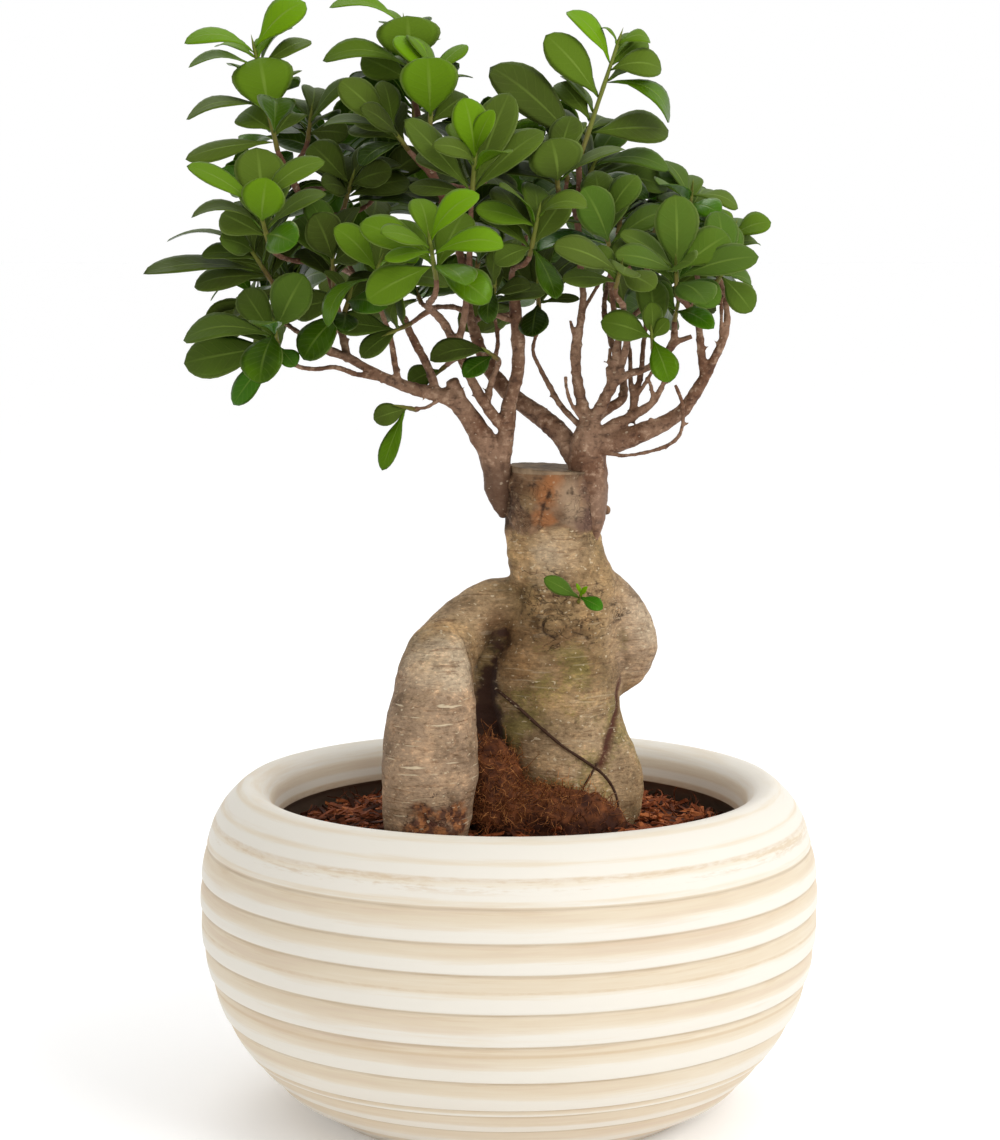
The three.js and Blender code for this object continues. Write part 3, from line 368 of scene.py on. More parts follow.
# Scion branches: rows of x, y, z, radius. The first limb of each is its grafted wedge.
leftBranches = {
    "wedge": [(-2.4, 0, 263, 1.3), (-3, -1, 268, 4), (-4.5, -2, 276, 6.3), (-5, -3, 284, 6.4),
        (-7.8, -4, 292, 5.8)],
    "low": [(-7.8, -4, 292, 5.6), (-16, -7, 306, 4.6), (-23.5, -10, 315.5, 4), (-30.5, -12, 318, 3.4),
        (-38.7, -14, 320, 3), (-49, -17, 323.6, 2.6), (-59.5, -20, 329, 2.2), (-69.5, -23, 334.8, 1.9),
        (-84, -27, 339, 1.6)],
    "upright": [(-4.4, -4, 287, 4.6), (-2.6, -5, 293, 4.2), (-1.6, -6, 299, 3.8), (-0.6, -7, 305, 3.5),
        (-0.2, -8, 312.5, 3.2), (2, -9, 320, 2.9), (4, -10, 330, 3), (3.8, -12, 343, 3), (2.4, -14, 358, 2.6),
        (1.3, -18, 367, 1.8)],
    "leaning": [(-2, -7, 303, 2.7), (-7.4, -10, 309.5, 2.6), (-15, -12, 322, 2.4), (-21.7, -14, 336.5, 2.2),
        (-27.8, -16, 348.7, 2), (-32.6, -22, 354.4, 1.9), (-34, -42, 357.5, 1.7), (-31, -62, 362, 1.6)],
    "leaningFork": [(-22.5, -14, 338, 1.8), (-19.5, -18, 350.4, 1.8), (-17.8, -24, 362, 1.6),
        (-16.5, -36, 381, 1.5)],
    "leftRiser": [(-31, -12, 318.5, 2.1), (-35, -12, 330, 2.1), (-40.8, -13, 341, 2), (-45.6, -14, 352, 1.7)],
    "leftTwig": [(-47, -16, 321.8, 1.6), (-49, -18, 331.5, 1.6), (-50.8, -22, 343.3, 1.4),
        (-54, -31, 354, 1.3)],
    "cutStub": [(-20, -9, 313, 3.2), (-22.5, -10, 319, 3.1), (-25, -11, 324.5, 2.8)],
    "droopTwig": [(-29, -13, 316.5, 1), (-35.5, -18, 313, 0.9), (-39, -22, 312.6, 0.9)],
    "lowFork": [(-53.5, -18, 325.2, 1.6), (-65, -25, 327.6, 1.4), (-74.3, -28, 330.8, 1.3),
        (-82, -30, 330.2, 1.2), (-89, -33, 331.2, 1.2), (-93, -35, 333.6, 1.2)],
    "innerTwig": [(-9.5, -9.5, 312, 1.7), (-8, -8, 322, 1.6), (-5, -8, 330, 1.4)],
    "sideStem": [(-69, -22.5, 333, 2), (-73, -14, 350, 2), (-80, 0, 378, 1.8), (-90, 3, 402, 1.6),
        (-97, 0, 416, 1.5)],
    "topStem": [(-18, -27, 366, 1.9), (-24, -14, 390, 1.9), (-35, -4, 420, 1.7), (-40.5, 3, 443, 1.5)],
}

rightBranches = {
    "wedge": [(37, -8, 252, 1.5), (36.8, -6, 263, 5.4), (35.8, -5, 272, 7.6), (34.4, -6, 284, 8.6),
        (33.6, -7, 294, 8.1), (34.5, -8, 301, 6), (35.6, -8, 306, 4.4)],
    "longLeft": [(29, -6, 290, 5), (23, 0, 299.3, 4.6), (16, 4, 305.6, 4.2), (3.4, 8, 314.6, 3.9),
        (-4.9, 10, 322.6, 3.6), (-10.4, 12, 331, 3.2), (-14.9, 12, 343.3, 2.8), (-17.4, 14, 352, 2.5),
        (-18, 22, 366, 2)],
    "longLeftFork": [(-8, 11, 327, 1.6), (-5, 10, 338, 1.5), (-6, 6, 350, 1.3)],
    "upright": [(34.8, -8, 304, 3.4), (32, -7, 312.6, 3), (29.5, -6, 325.8, 2.6), (29.5, -7, 339, 2.4),
        (31.3, -9, 351.6, 2.2), (32.2, -11, 362, 2)],
    "uprightTwig": [(29.3, -6, 322, 1.2), (27.2, -8, 334, 1.1), (28, -9, 343, 1), (26.5, -10, 350, 0.9)],
    "uprightFork": [(31.7, -9, 353.7, 1.2), (35.5, -7, 360, 1.1), (39.6, -5, 367, 1)],
    "thinLeft": [(33, -6, 302, 1.9), (22.2, -1, 313, 1.8), (17.4, 1, 321.4, 1.7), (13.9, 1, 328, 1.5),
        (10.5, -1, 336, 1.4), (11.5, -3, 343, 1.3)],
    "shortTwig": [(33, -8, 305, 1.2), (27, -10, 314, 1.1), (24.8, -11, 321.4, 1), (24.4, -12, 326, 0.9)],
    "middle": [(35.5, -8, 305, 3.6), (39, -8, 311, 3.2), (42.6, -9, 318, 2.8), (46, -10, 325.4, 2.6),
        (46, -11, 333.7, 2.3), (47.4, -13, 344.7, 2.1), (45.3, -17, 353, 1.9), (43.5, -23, 366, 1.7)],
    "middleTwig": [(43.5, -9, 320, 1), (42.5, -10, 330, 0.9)],
    "middleTwin": [(45.5, -10, 325, 1.1), (43.6, -9, 332, 1.1), (43.8, -8, 338, 1)],
    "frontRiser": [(46.4, -10, 324, 2.2), (49.5, -13, 334, 2.1), (50.5, -21, 344.6, 1.8),
        (48.5, -36, 356, 1.6)],
    "redSide": [(46.5, -10, 323.5, 2.3), (53, -14, 327.6, 2.2), (57.5, -18, 328.8, 1.9), (60.5, -22, 331, 1.7)],
    "backRiser": [(50, -6, 303.5, 1.8), (53.9, -5, 312.6, 1.8), (52.9, -3, 323.6, 1.7), (52.8, -1, 332.4, 1.6),
        (51.9, 3, 343.3, 1.4)],
    "sideRiser": [(53.5, -6, 308, 1.9), (55.9, -4, 320, 1.8), (57.6, -3, 328, 1.7), (58.4, -1, 338, 1.6),
        (60, 5, 350, 1.4)],
    "sideRiserFork": [(55.5, -5, 317, 1.5), (60.6, -8, 325, 1.3), (64, -9, 332, 1.1)],
    "lowRight": [(38, -8, 297, 4.2), (45.2, -8, 303.8, 3.4), (49.5, -7, 306, 3), (54.7, -7, 309, 2.6),
        (62.4, -8, 314.4, 2), (65.7, -9, 320, 1.7), (67.4, -10, 324.4, 1.5)],
    "lowRightTwig": [(62, -8, 314, 0.9), (62, -9, 319, 0.8), (61, -9, 323.6, 0.8)],
    "rearRiser": [(36.5, -6, 306, 2.8), (42.5, -3, 311, 2.7), (49, 0, 314.7, 2.5), (50.3, 5, 320, 2.3),
        (48, 16, 330, 2), (44, 30, 344, 1.8)],
    "longRight": [(34, -8, 296, 6.2), (40, -8, 296.5, 5.5), (50.5, -9, 298.6, 4.7), (58.8, -10, 302, 4.2),
        (65.3, -11, 304.6, 3.7), (75, -12, 311, 3.2), (79.3, -13, 317, 3), (84, -14, 325, 2.8),
        (88.4, -14, 333.5, 2.5), (92.4, -14, 342, 2.2), (94, -13, 350, 2), (92.9, -12, 359.6, 1.8),
        (91, -11, 366, 1.7)],
    "longRightFork": [(84.5, -14, 323, 2.3), (82.7, -15, 337.7, 2.2), (80.9, -18, 350, 1.9),
        (76, -25, 357, 1.7)],
    "longRightTwig": [(91, -14, 338, 1.2), (91.3, -16, 351.7, 1.1), (90.8, -18, 361, 1)],
    "stub": [(59.5, -10, 301, 2.4), (61.7, -12, 308, 1.3)],
    "hangingTwig": [(38, -12, 293.6, 1.4), (49.2, -14, 291.8, 1.2), (60, -15, 293.4, 1.1),
        (67.8, -16, 296, 1.1), (73, -17, 300, 1), (75, -17, 306.5, 1), (74.6, -18, 314.8, 1),
        (71.5, -18, 322.7, 0.8)],
    "stubStem": [(60, -21, 330, 1.9), (66.5, -19, 335, 2.2), (70.5, -19, 341, 2.3), (71, -19.5, 346, 2)],
    "stubLow": [(71, -19, 341, 1.8), (78.5, -19, 343.5, 1.6)],
    "topStem": [(32, -11, 361, 2), (30, -10, 385, 1.8), (30, -13, 411, 1.7)],
    "sideStem": [(81, -18, 349, 1.8), (82, -8, 364, 1.7), (79.5, 0, 378, 1.6), (78, 2, 386, 1.5)],
}

# Leafy shoots: the ends of the green stem, the scion, the branch and the place on it that it leaves from, how
# many leaves go round the stem where there is room, and the leaves listed one by one: place on the stem, tip x,
# y, z, width, arch and face, where 0 is square to the viewer and 90 lies flat.
shoots = {
    "upper_left": ((-100, -4, 424), (-110, 6, 466), "left", "sideStem", 1, 4, [
        (0.25, -108, 2, 464, 27, 6, 8), (1, -88, 4, 487.5, 18, 4, 40), (0.95, -140, -4, 469.5, 14, 7, 70),
        (0.8, -138.6, -2, 459.5, 14, 5, 70), (0.9, -128, 16, 469, 11, 3, 60), (0.4, -140, -2, 437, 15, 6, 66),
        (0.8, -86, 12, 471.5, 13, 2, 55), (0.1, -92, 12, 441, 16, 2, 20), (0, -139.5, -8, 420, 14, 2, 50),
        (0.15, -117, 12, 440, 15, 2, 20)]),
    "middle_left": ((-101.5, -36, 384), (-104.5, -44, 398), "left", "sideStem", 0.4, 3, [
        (0.5, -106.5, -31, 424, 22, 3, 12), (0.6, -100.5, -54, 411, 19, 4, 15),
        (0.9, -76.5, -46, 418.5, 13, 8, 45), (0.9, -134, -50, 416, 14, 4, 50),
        (0.2, -133.5, -46, 395.5, 13, 9, 74), (0.3, -77, -36, 406, 13, 4, 55), (0, -122, -30, 396, 16, 2, 20)]),
    "far_left": ((-101.5, -14, 366), (-110, -20, 380), "left", "sideStem", 0.3, 3, [
        (0.3, -156, -26, 371, 17, 5, 62), (0.9, -147.5, -14, 385, 12, 7, 80),
        (0.7, -131.5, -22, 378.5, 12, 3, 60), (0.95, -121.5, -36, 386, 13, 3, 35),
        (0.2, -135.5, -20, 366, 14, 3, 50), (0, -130.5, -6, 359, 10, 5, 80), (0.8, -116, 6, 396, 16, 3, 25)]),
    "lower_left": ((-97.5, -37, 338), (-98.5, -42, 347), "left", "lowFork", 1, 2, [
        (0.9, -85.5, -52, 371, 19, 3, 15), (0.6, -138, -44, 344, 17, 8, 50), (0.3, -139, -33, 333, 19, 2, 25),
        (0.9, -104, -57, 325.5, 19, 5, 15), (0, -118, -36, 315, 11, 2, 15), (0.2, -90, -44, 332, 9, 1, 20)]),
    "lower_inner_left": ((-70, -36, 353), (-67, -41, 362), "left", "low", 0.92, 4, [
        (0.2, -87, -45, 335, 17, 4, 30), (0.6, -50.5, -62, 358, 15, 4, 40), (0.9, -93, -32, 355, 14, 2, 20)]),
    "curved_left": ((-57.5, -44, 366), (-54, -52, 375), "left", "leftTwig", 1, 4, [
        (0.3, -76.5, -60, 349.5, 13, 8, 60)]),
    "front_centre_left": ((-30, -74, 371), (-32, -86, 385), "left", "leaning", 1, 2, [
        (0.5, -60.5, -82, 393.5, 16, 2, 35), (0.7, -50, -96, 378, 8, 2, 50), (0.3, -58, -88, 362, 17, 3, 25),
        (0.95, -12, -90, 405, 14, 6, 45), (0.6, -1, -84, 385, 14, 6, 35), (0.2, -7.5, -86, 361, 17, 3, 25),
        (0.8, -37, -72, 404, 13, 2, 15)]),
    "upper_centre": ((-15.5, -52, 402), (-13.7, -58, 424.5), "left", "leaningFork", 1, 3, [
        (0.1, -42.5, -62, 435, 14, 2, 35), (0.6, -31.5, -70, 424, 11, 6, 60),
        (0.7, -18.5, -64, 443.5, 16, 3, 15), (0.8, -7, -66, 438.5, 9, 2, 30), (0.1, 0, -48, 446.5, 18, 3, 20),
        (0, 14, -56, 431, 16, 3, 35), (0, -42, -50, 408, 11, 1, 45)]),
    "top_centre": ((-42, 6, 450), (-45, 8, 475), "left", "topStem", 1, 2, [
        (0.35, -44, 2, 480.5, 28, 5, 8), (1, -78, 2, 485.5, 13, 7, 62), (1, -36, 24, 480, 11, 2, 60),
        (0.3, -81, -2, 462, 13, 9, 62), (0, -64, 8, 463, 16, 2, 20)]),
    "top_centre_front": ((-33.5, -22, 431), (-32.5, -20, 455), "left", "topStem", 0.6, 3, [
        (0.2, -34.5, -27, 462, 25, 5, 8), (0.9, -18, -12, 467.5, 11, 2, 50), (0.6, -15, -16, 454.5, 6, 3, 75),
        (0.1, -17.5, -12, 446, 15, 3, 25)]),
    "top_centre_left": ((-44, -12, 424), (-50, -16, 432), "left", "topStem", 0.5, 2, [
        (0.9, -72, -18, 452, 16, 2, 20), (0.9, -54, -9, 453, 12, 2, 25), (0.5, -62, -28, 441, 12, 2, 40),
        (0.7, -80, -14, 434, 13, 4, 65), (0.2, -64, -26, 417, 13, 3, 55)]),
    "upper_inner_left": ((-88, 18, 428), (-87, 20, 437), "left", "sideStem", 0.85, 4, [
        (0.7, -70, 12, 455, 12, 2, 55), (0.2, -70, 14, 430, 15, 2, 30)]),
    "inner_left": ((-71, -4, 399), (-68, -6, 409), "left", "sideStem", 0.5, 5, [
        (0.5, -80, -18, 408, 14, 3, 50), (0.8, -50, -12, 414, 15, 3, 40), (0.9, -86, -2, 426, 16, 2, 20)]),
    "inner_low_left": ((-75, -22, 366), (-75, -28, 380), "left", "sideStem", 0.2, 4, [
        (0.7, -82, -38, 396, 18, 3, 20), (0.6, -60, -36, 384, 15, 2, 30)]),
    "top_right": ((30.5, -14, 420), (46.5, -12, 468), "right", "topStem", 1, 3, [
        (0.05, -8, -18, 458.5, 22, 6, 32), (0.5, 15.5, -20, 471, 18, 4, 30), (0.8, 25, -12, 482.5, 15, 4, 55),
        (0.97, 39.5, -10, 476, 4, 2, 60), (0.97, 61.5, -12, 470, 10, 4, 50), (0.75, 66, -15, 457.5, 15, 6, 40),
        (0.65, 70.5, -8, 434.5, 13, 11, 50), (0.2, 69, -2, 431.5, 19, 3, 30), (0.3, 21, 2, 453, 13, 2, 20)]),
    "centre_cup": ((20.5, -40, 407), (19.5, -44, 416), "right", "topStem", 0.7, 3, [
        (0.2, 17.5, -54, 427, 24, 4, 20), (0.9, 0, -40, 430, 12, 4, 60)]),
    "long_right": ((31, 6, 404), (37, 4, 417), "right", "topStem", 0.6, 4, [
        (0.9, 69.5, -4, 414.5, 14, 7, 56), (0.3, 60, -12, 402, 13, 8, 52), (0.6, 70, 12, 407, 15, 4, 35)]),
    "front_right": ((71, -37, 363), (70, -45, 374), "right", "longRightFork", 1, 2, [
        (0.7, 69, -51, 404, 20, 2, 8), (0.8, 92.5, -40, 388, 17, 2, 25), (0.5, 104.5, -48, 378.5, 16, 4, 42),
        (0.7, 43.5, -58, 379.5, 13, 4, 50), (0.8, 46, -44, 388, 13, 3, 50), (0.4, 88.5, -48, 359, 14, 2, 30)]),
    "upper_right": ((78, 2, 394), (79, 0, 404), "right", "sideStem", 1, 4, [
        (0.9, 100, -4, 399, 12, 3.5, 56), (0.5, 90, -16, 397, 12, 2, 40)]),
    "right_end": ((93, 0, 376), (97, 2, 387), "right", "longRight", 1, 3, [
        (0.8, 113.5, -2, 392, 14, 3, 50), (0.9, 90.5, 6, 399, 9, 2, 50), (0.4, 110, 8, 384, 10, 2, 55)]),
    "low_right": ((88, -24, 366), (91, -29, 371), "right", "longRightTwig", 1, 1, [
        (0.7, 103, -36, 355, 13, 2, 10), (0.8, 105, -22, 366, 10, 2, 50)]),
    "centre_right": ((42.7, -29, 381), (38.5, -34, 398), "right", "middle", 1, 4, [
        (0.1, 31, -48, 407, 18, 4, 20), (0.6, 54, -34, 413, 14, 3, 25)]),
    "front_centre": ((9, -48, 380), (12, -56, 395), "left", "upright", 1, 2, [
        (0.9, 33, -64, 400, 13, 6, 58), (0.1, 24, -52, 404, 14, 2, 20), (0.7, -14, -62, 398, 13, 3, 40),
        (0.1, -6, -58, 376, 12, 2, 30), (0.1, 20, -60, 361, 12, 2, 30)]),
    "front_centre_right": ((44.5, -54, 366), (46, -60, 373), "right", "frontRiser", 1, 2, [
        (0.7, 18, -72, 384, 14, 5, 40), (0.2, 22, -66, 370, 11, 2, 45), (0.8, 60, -72, 366, 13, 2, 40)]),
    "hanging_right": ((61.6, -28, 337), (60.5, -36, 345), "right", "redSide", 1, 1, [
        (0.8, 38.5, -44, 351.5, 14, 4, 25), (0.8, 60, -42, 359, 9.5, 1, 10), (0.8, 67, -44, 352, 7, 1, 15),
        (0.8, 68, -44, 325.5, 12.5, 2, 10)]),
    "stub_right": ((71, -20, 350.5), (72, -24, 357), "right", "stubStem", 1, 2, [
        (0.6, 60, -22, 366, 12, 2, 25), (0.5, 86, -44, 349, 10, 4, 40), (0.9, 76, -14, 366, 9, 2, 30)]),
    "under_centre": ((13, -8, 355), (12.4, -12, 363), "right", "thinLeft", 1, 2, [
        (0.3, 30.5, -14, 359.5, 6, 1, 60), (0.1, 10, -24, 343.5, 14, 2, 20)]),
    "under_centre_front": ((-7, -26, 356), (-6, -32, 366), "left", "upright", 0.8, 3, [
        (0.9, -9, -42, 350, 10, 3, 30), (0.9, -5, -40, 382, 9, 2, 30)]),
    "under_small": ((-5.5, -15, 334), (-9, -22, 337), "left", "innerTwig", 1, 1, [
        (0.8, -34, -34, 335, 13, 5, 40), (0.4, -19, -32, 328, 10, 1, 30)]),
    "drooping": ((-41, -24, 312.6), (-44.5, -27, 313.6), "left", "droopTwig", 1, 0, [
        (0.6, -58, -32, 309, 10, 2, 20), (0.9, -54.5, -32, 287, 8.5, 1, 12)]),
    "under_left": ((-27.5, -4, 330), (-31, -3, 327), "left", "leaning", 0.38, 0, [
        (0.6, -44, -4, 322, 13, 2, 30)]),
    "under_middle_left": ((-43, -31, 349), (-49, -37, 346.5), "left", "leaning", 0.7, 3, [
        (0.8, -74, -40, 350, 13, 2, 30), (0.4, -63, -40, 336, 11, 2, 30)]),
    "inner_middle_left": ((-60, 16, 402), (-57, 22, 413), "left", "sideStem", 0.6, 7, []),
    "inner_centre": ((-24, 12, 384), (-24, 17, 394), "left", "topStem", 0.2, 7, []),
    "inner_low_far_left": ((-92, 10, 362), (-99, 14, 367), "left", "sideStem", 0.12, 6, []),
    "inner_right": ((48, 16, 388), (50, 22, 399), "right", "sideRiser", 1, 7, []),
    "inner_low_centre": ((-14, 6, 372), (-12, 10, 382), "right", "longLeft", 1, 6, []),
    "rear_far_left": ((-104, 40, 390), (-110, 48, 402), "left", "sideStem", 0.55, 9, []),
    "rear_upper_left": ((-78, 50, 414), (-80, 58, 427), "left", "sideStem", 0.7, 9, []),
    "rear_top": ((-42, 40, 434), (-43, 48, 448), "left", "topStem", 0.8, 9, []),
    "rear_centre_top": ((-10, 40, 412), (-8, 50, 424), "left", "topStem", 0.45, 9, []),
    "rear_right_top": ((26, 48, 410), (28, 58, 422), "right", "topStem", 0.5, 9, []),
    "rear_right": ((64, 40, 384), (68, 50, 394), "right", "sideRiser", 1, 9, []),
    "rear_far_right": ((93, 28, 366), (98, 38, 374), "right", "longRight", 0.93, 9, []),
    "rear_low_right": ((48, 74, 372), (50, 86, 380), "right", "rearRiser", 1, 9, []),
    "rear_centre": ((8, 78, 386), (8, 90, 396), "right", "longLeft", 0.92, 9, []),
    "rear_middle_left": ((-36, 80, 392), (-38, 92, 402), "right", "longLeft", 1, 9, []),
    "rear_lower_left": ((-74, 76, 372), (-80, 88, 380), "left", "sideStem", 0.35, 9, []),
    "rear_low_far_left": ((-106, 34, 352), (-114, 42, 358), "left", "low", 0.85, 9, []),
    "rear_under_left": ((-40, 50, 356), (-43, 62, 362), "right", "longLeft", 0.8, 8, []),
    "rear_under_right": ((3, 46, 353), (4, 58, 360), "right", "longLeft", 0.75, 7, []),
    "rear_side_right": ((66, 22, 358), (74, 30, 363), "right", "backRiser", 1, 8, []),
}

# the crown's outline as (x, z) seen from the front, and the open gaps in it as low x, low z, high x, high z
crownOutline = [
    (-92, 484), (-96, 470), (-89, 462), (-80, 457), (-67, 457), (-62, 470), (-56, 476), (-60, 487), (-40, 486),
    (-33, 474), (-24, 468), (-20, 456), (-10, 450), (-4, 460), (10, 462), (22, 456), (18, 472), (30, 475),
    (34, 484), (44, 472), (60, 476), (64, 464), (71, 448), (72, 438), (62, 428), (84, 410), (97, 405),
    (98, 398), (111, 391), (104, 382), (107, 367), (96, 358), (94, 346), (82, 350), (76, 345), (60, 346),
    (52, 340), (45, 350), (36, 360), (28, 363), (16, 361), (6, 347), (0, 342), (-10, 344), (-20, 342),
    (-34, 346), (-50, 344), (-66, 340), (-84, 337), (-92, 326), (-112, 316), (-138, 332), (-141, 346),
    (-132, 356), (-118, 361), (-130, 372), (-152, 379), (-136, 382), (-126, 388), (-124, 400), (-133, 414),
    (-126, 424), (-116, 436), (-114, 446), (-120, 456), (-130, 468), (-126, 474), (-112, 472), (-102, 484)
]
crownGaps = [(40, 441, 62, 454), (1, 437, 10, 445)]

freshnessAndShade = {                        # how young and yellow each shoot's leaves are; below 0.3 it also paints them darker, as painted shade; the rest take 0.1
    "upper_left": 0.6, "middle_left": 0.55, "far_left": 0.05, "lower_left": 0.2, "lower_inner_left": 0.1,
    "curved_left": 0.75, "front_centre_left": 0.8, "upper_centre": 0.65, "top_centre": 0.7,
    "top_centre_front": 0.8, "top_centre_left": 0.4, "upper_inner_left": 0.1, "inner_left": 0.1,
    "inner_low_left": 0.05, "top_right": 0.55, "long_right": 0.35, "front_right": 0.3, "right_end": 0.5,
    "centre_right": 0.3, "front_centre": 0.6, "centre_cup": 0.5, "front_centre_right": 0.35,
    "low_right": 0.35, "hanging_right": 0.4, "stub_right": 0.35, "drooping": 0.3, "upper_right": 0.3,
}
coolness = {                         # shoots whose leaves are a bluer green
    "front_right": 0.8, "long_right": 0.6, "upper_right": 0.5, "low_right": 0.7, "stub_right": 0.5,
    "right_end": 0.4, "centre_right": 0.5, "lower_left": 0.4, "inner_low_left": 0.5, "hanging_right": 0.3,
}

crown = {
    "stalkShare": 0.12,              # how much of a leaf's length is its stalk
    "stalkHalfWidth": 0.8,
    "leafStart": 2.4,
    "stemRadius": 1.5,
    "branchRoom": 2.6,
    "bladeRoom": 4.6,
    "ownRoom": 3,
    "fillLength": 34,
    "fillWidth": 0.56,               # the width and arch of those leaves as shares of their length
    "fillArch": 0.11,
    "shorter": 0.25,                 # the leaves at the stem's end are this much shorter
    "spread": (80, 34),              # degrees from the stem, from its lowest leaf to its highest
    "goldenTurn": 137.5,
    "shootTurn": 67,                 # each shoot starts its leaves this much further round
    "extraTurn": 53,
    "swings": [0, 24, -24, 48, -48, 76, -76, 104, -104, 140, 170],
    "shares": [1, 0.86, 0.72, 0.6],
    "extraLeaves": 7,
    "extraBehind": 2,                # they grow behind the stem, so that the placed ones stay in view
    "extraRoom": (1.2, 2.2, 1.8),
    "extraShares": [0.95, 0.8, 0.66],
    "grip": 7,                       # wood this near to a shoot's own base is not in its way
    "near": 55,                      # blades further off than this can't touch
    "view": (1300, 240, 0.129),      # the viewer's distance, height of look and slope
}

scions = {"left": leftBranches, "right": rightBranches}


def bladeHalfWidth(t, width):
    if t <= crown["stalkShare"]:
        return crown["stalkHalfWidth"]
    along = (t - crown["stalkShare"]) / (1 - crown["stalkShare"])
    return max(width / 2 * abs(math.sin(math.pi * along ** 1.35)) ** 0.75, 0.5)


def makeLeaf(base, tip, normal, width, arch, onStem):
    axis = tip - base
    reach = axis.normalized()
    up = (normal - reach * normal.dot(reach)).normalized()
    return {"base": base, "axis": axis, "up": up, "width": width, "arch": arch, "onStem": onStem}


def leafFrame(leaf, t):              # the midrib's place, its heading and the blade's upper side
    arch, up = leaf["arch"], leaf["up"]
    at = leaf["base"] + leaf["axis"] * t + up * (arch * 4 * t * (1 - t))
    tangent = (leaf["axis"] + up * (arch * 4 * (1 - 2 * t))).normalized()
    return at, tangent, (up - tangent * up.dot(tangent)).normalized()


def facing(base, tip, face):         # the upper side, turned by face degrees from the viewer to the sky
    reach = (tip - base).normalized()
    toViewer = Vector((0, -1, 0))
    toViewer = (toViewer - reach * toViewer.dot(reach)).normalized()
    skyward = toViewer.cross(reach)
    if skyward.z < 0:
        skyward.negate()
    turn = math.radians(face)
    return toViewer * math.cos(turn) + skyward * math.sin(turn)


def bladePoints(leaf):
    points = []
    for t in (0.28, 0.42, 0.56, 0.7, 0.84, 1):
        at, tangent, up = leafFrame(leaf, t)
        across = up.cross(tangent) * bladeHalfWidth(t, leaf["width"])
        points += [at + across * share for share in (-1, -0.5, 0, 0.5, 1)]
    return np.array(points)


def insideCrown(points):             # whether every point lies in the crown's outline as the viewer sees it
    distance, height, slope = crown["view"]
    shrink = 1 + points[:, 1] / distance
    x, z = points[:, 0] / shrink, height + (points[:, 2] - height + slope * points[:, 1]) / shrink
    for x0, z0, x1, z1 in crownGaps:
        if ((x > x0) & (x < x1) & (z > z0) & (z < z1)).any():
            return False
    inside = np.zeros(len(points), bool)
    for i, (x1, z1) in enumerate(crownOutline):
        x0, z0 = crownOutline[i - 1]
        if z0 != z1:
            inside ^= ((z0 > z) != (z1 > z)) & (x < x0 + (x1 - x0) * (z - z0) / (z1 - z0))
    return bool(inside.all())


def growShoots():
    grown = []
    for name, (base, apex, side, branch, along, fill, leaves) in shoots.items():
        base, apex = Vector(base), Vector(apex)
        limb = smoothCurve(scions[side][branch])
        start, heading, stemward = limb(along), headingOf(limb, along), (apex - base).normalized()
        reach = (base - start).length * 0.35
        twig = bezierCurve(start, start + heading * reach, base - stemward * reach, base)
        shoot = {
            "name": name, "side": side, "base": base, "apex": apex, "stem": apex - base, "fill": fill,
            "twig": twig, "leaves": [],
        }
        for onStem, x, y, z, width, arch, face in leaves:
            onStem = max(onStem, crown["leafStart"] / shoot["stem"].length)
            root, tip = base + shoot["stem"] * onStem, Vector((x, y, z))
            shoot["leaves"].append(makeLeaf(root, tip, facing(root, tip, face), width, arch, onStem))
        grown.append(shoot)
    return grown


def sampled(curve, radiusAt):        # places every 4 mm along a branch, with its radius there
    count = math.ceil(lengthOf(curve) / 4)
    return [(*curve(i / count), radiusAt(i / count)) for i in range(count + 1)]


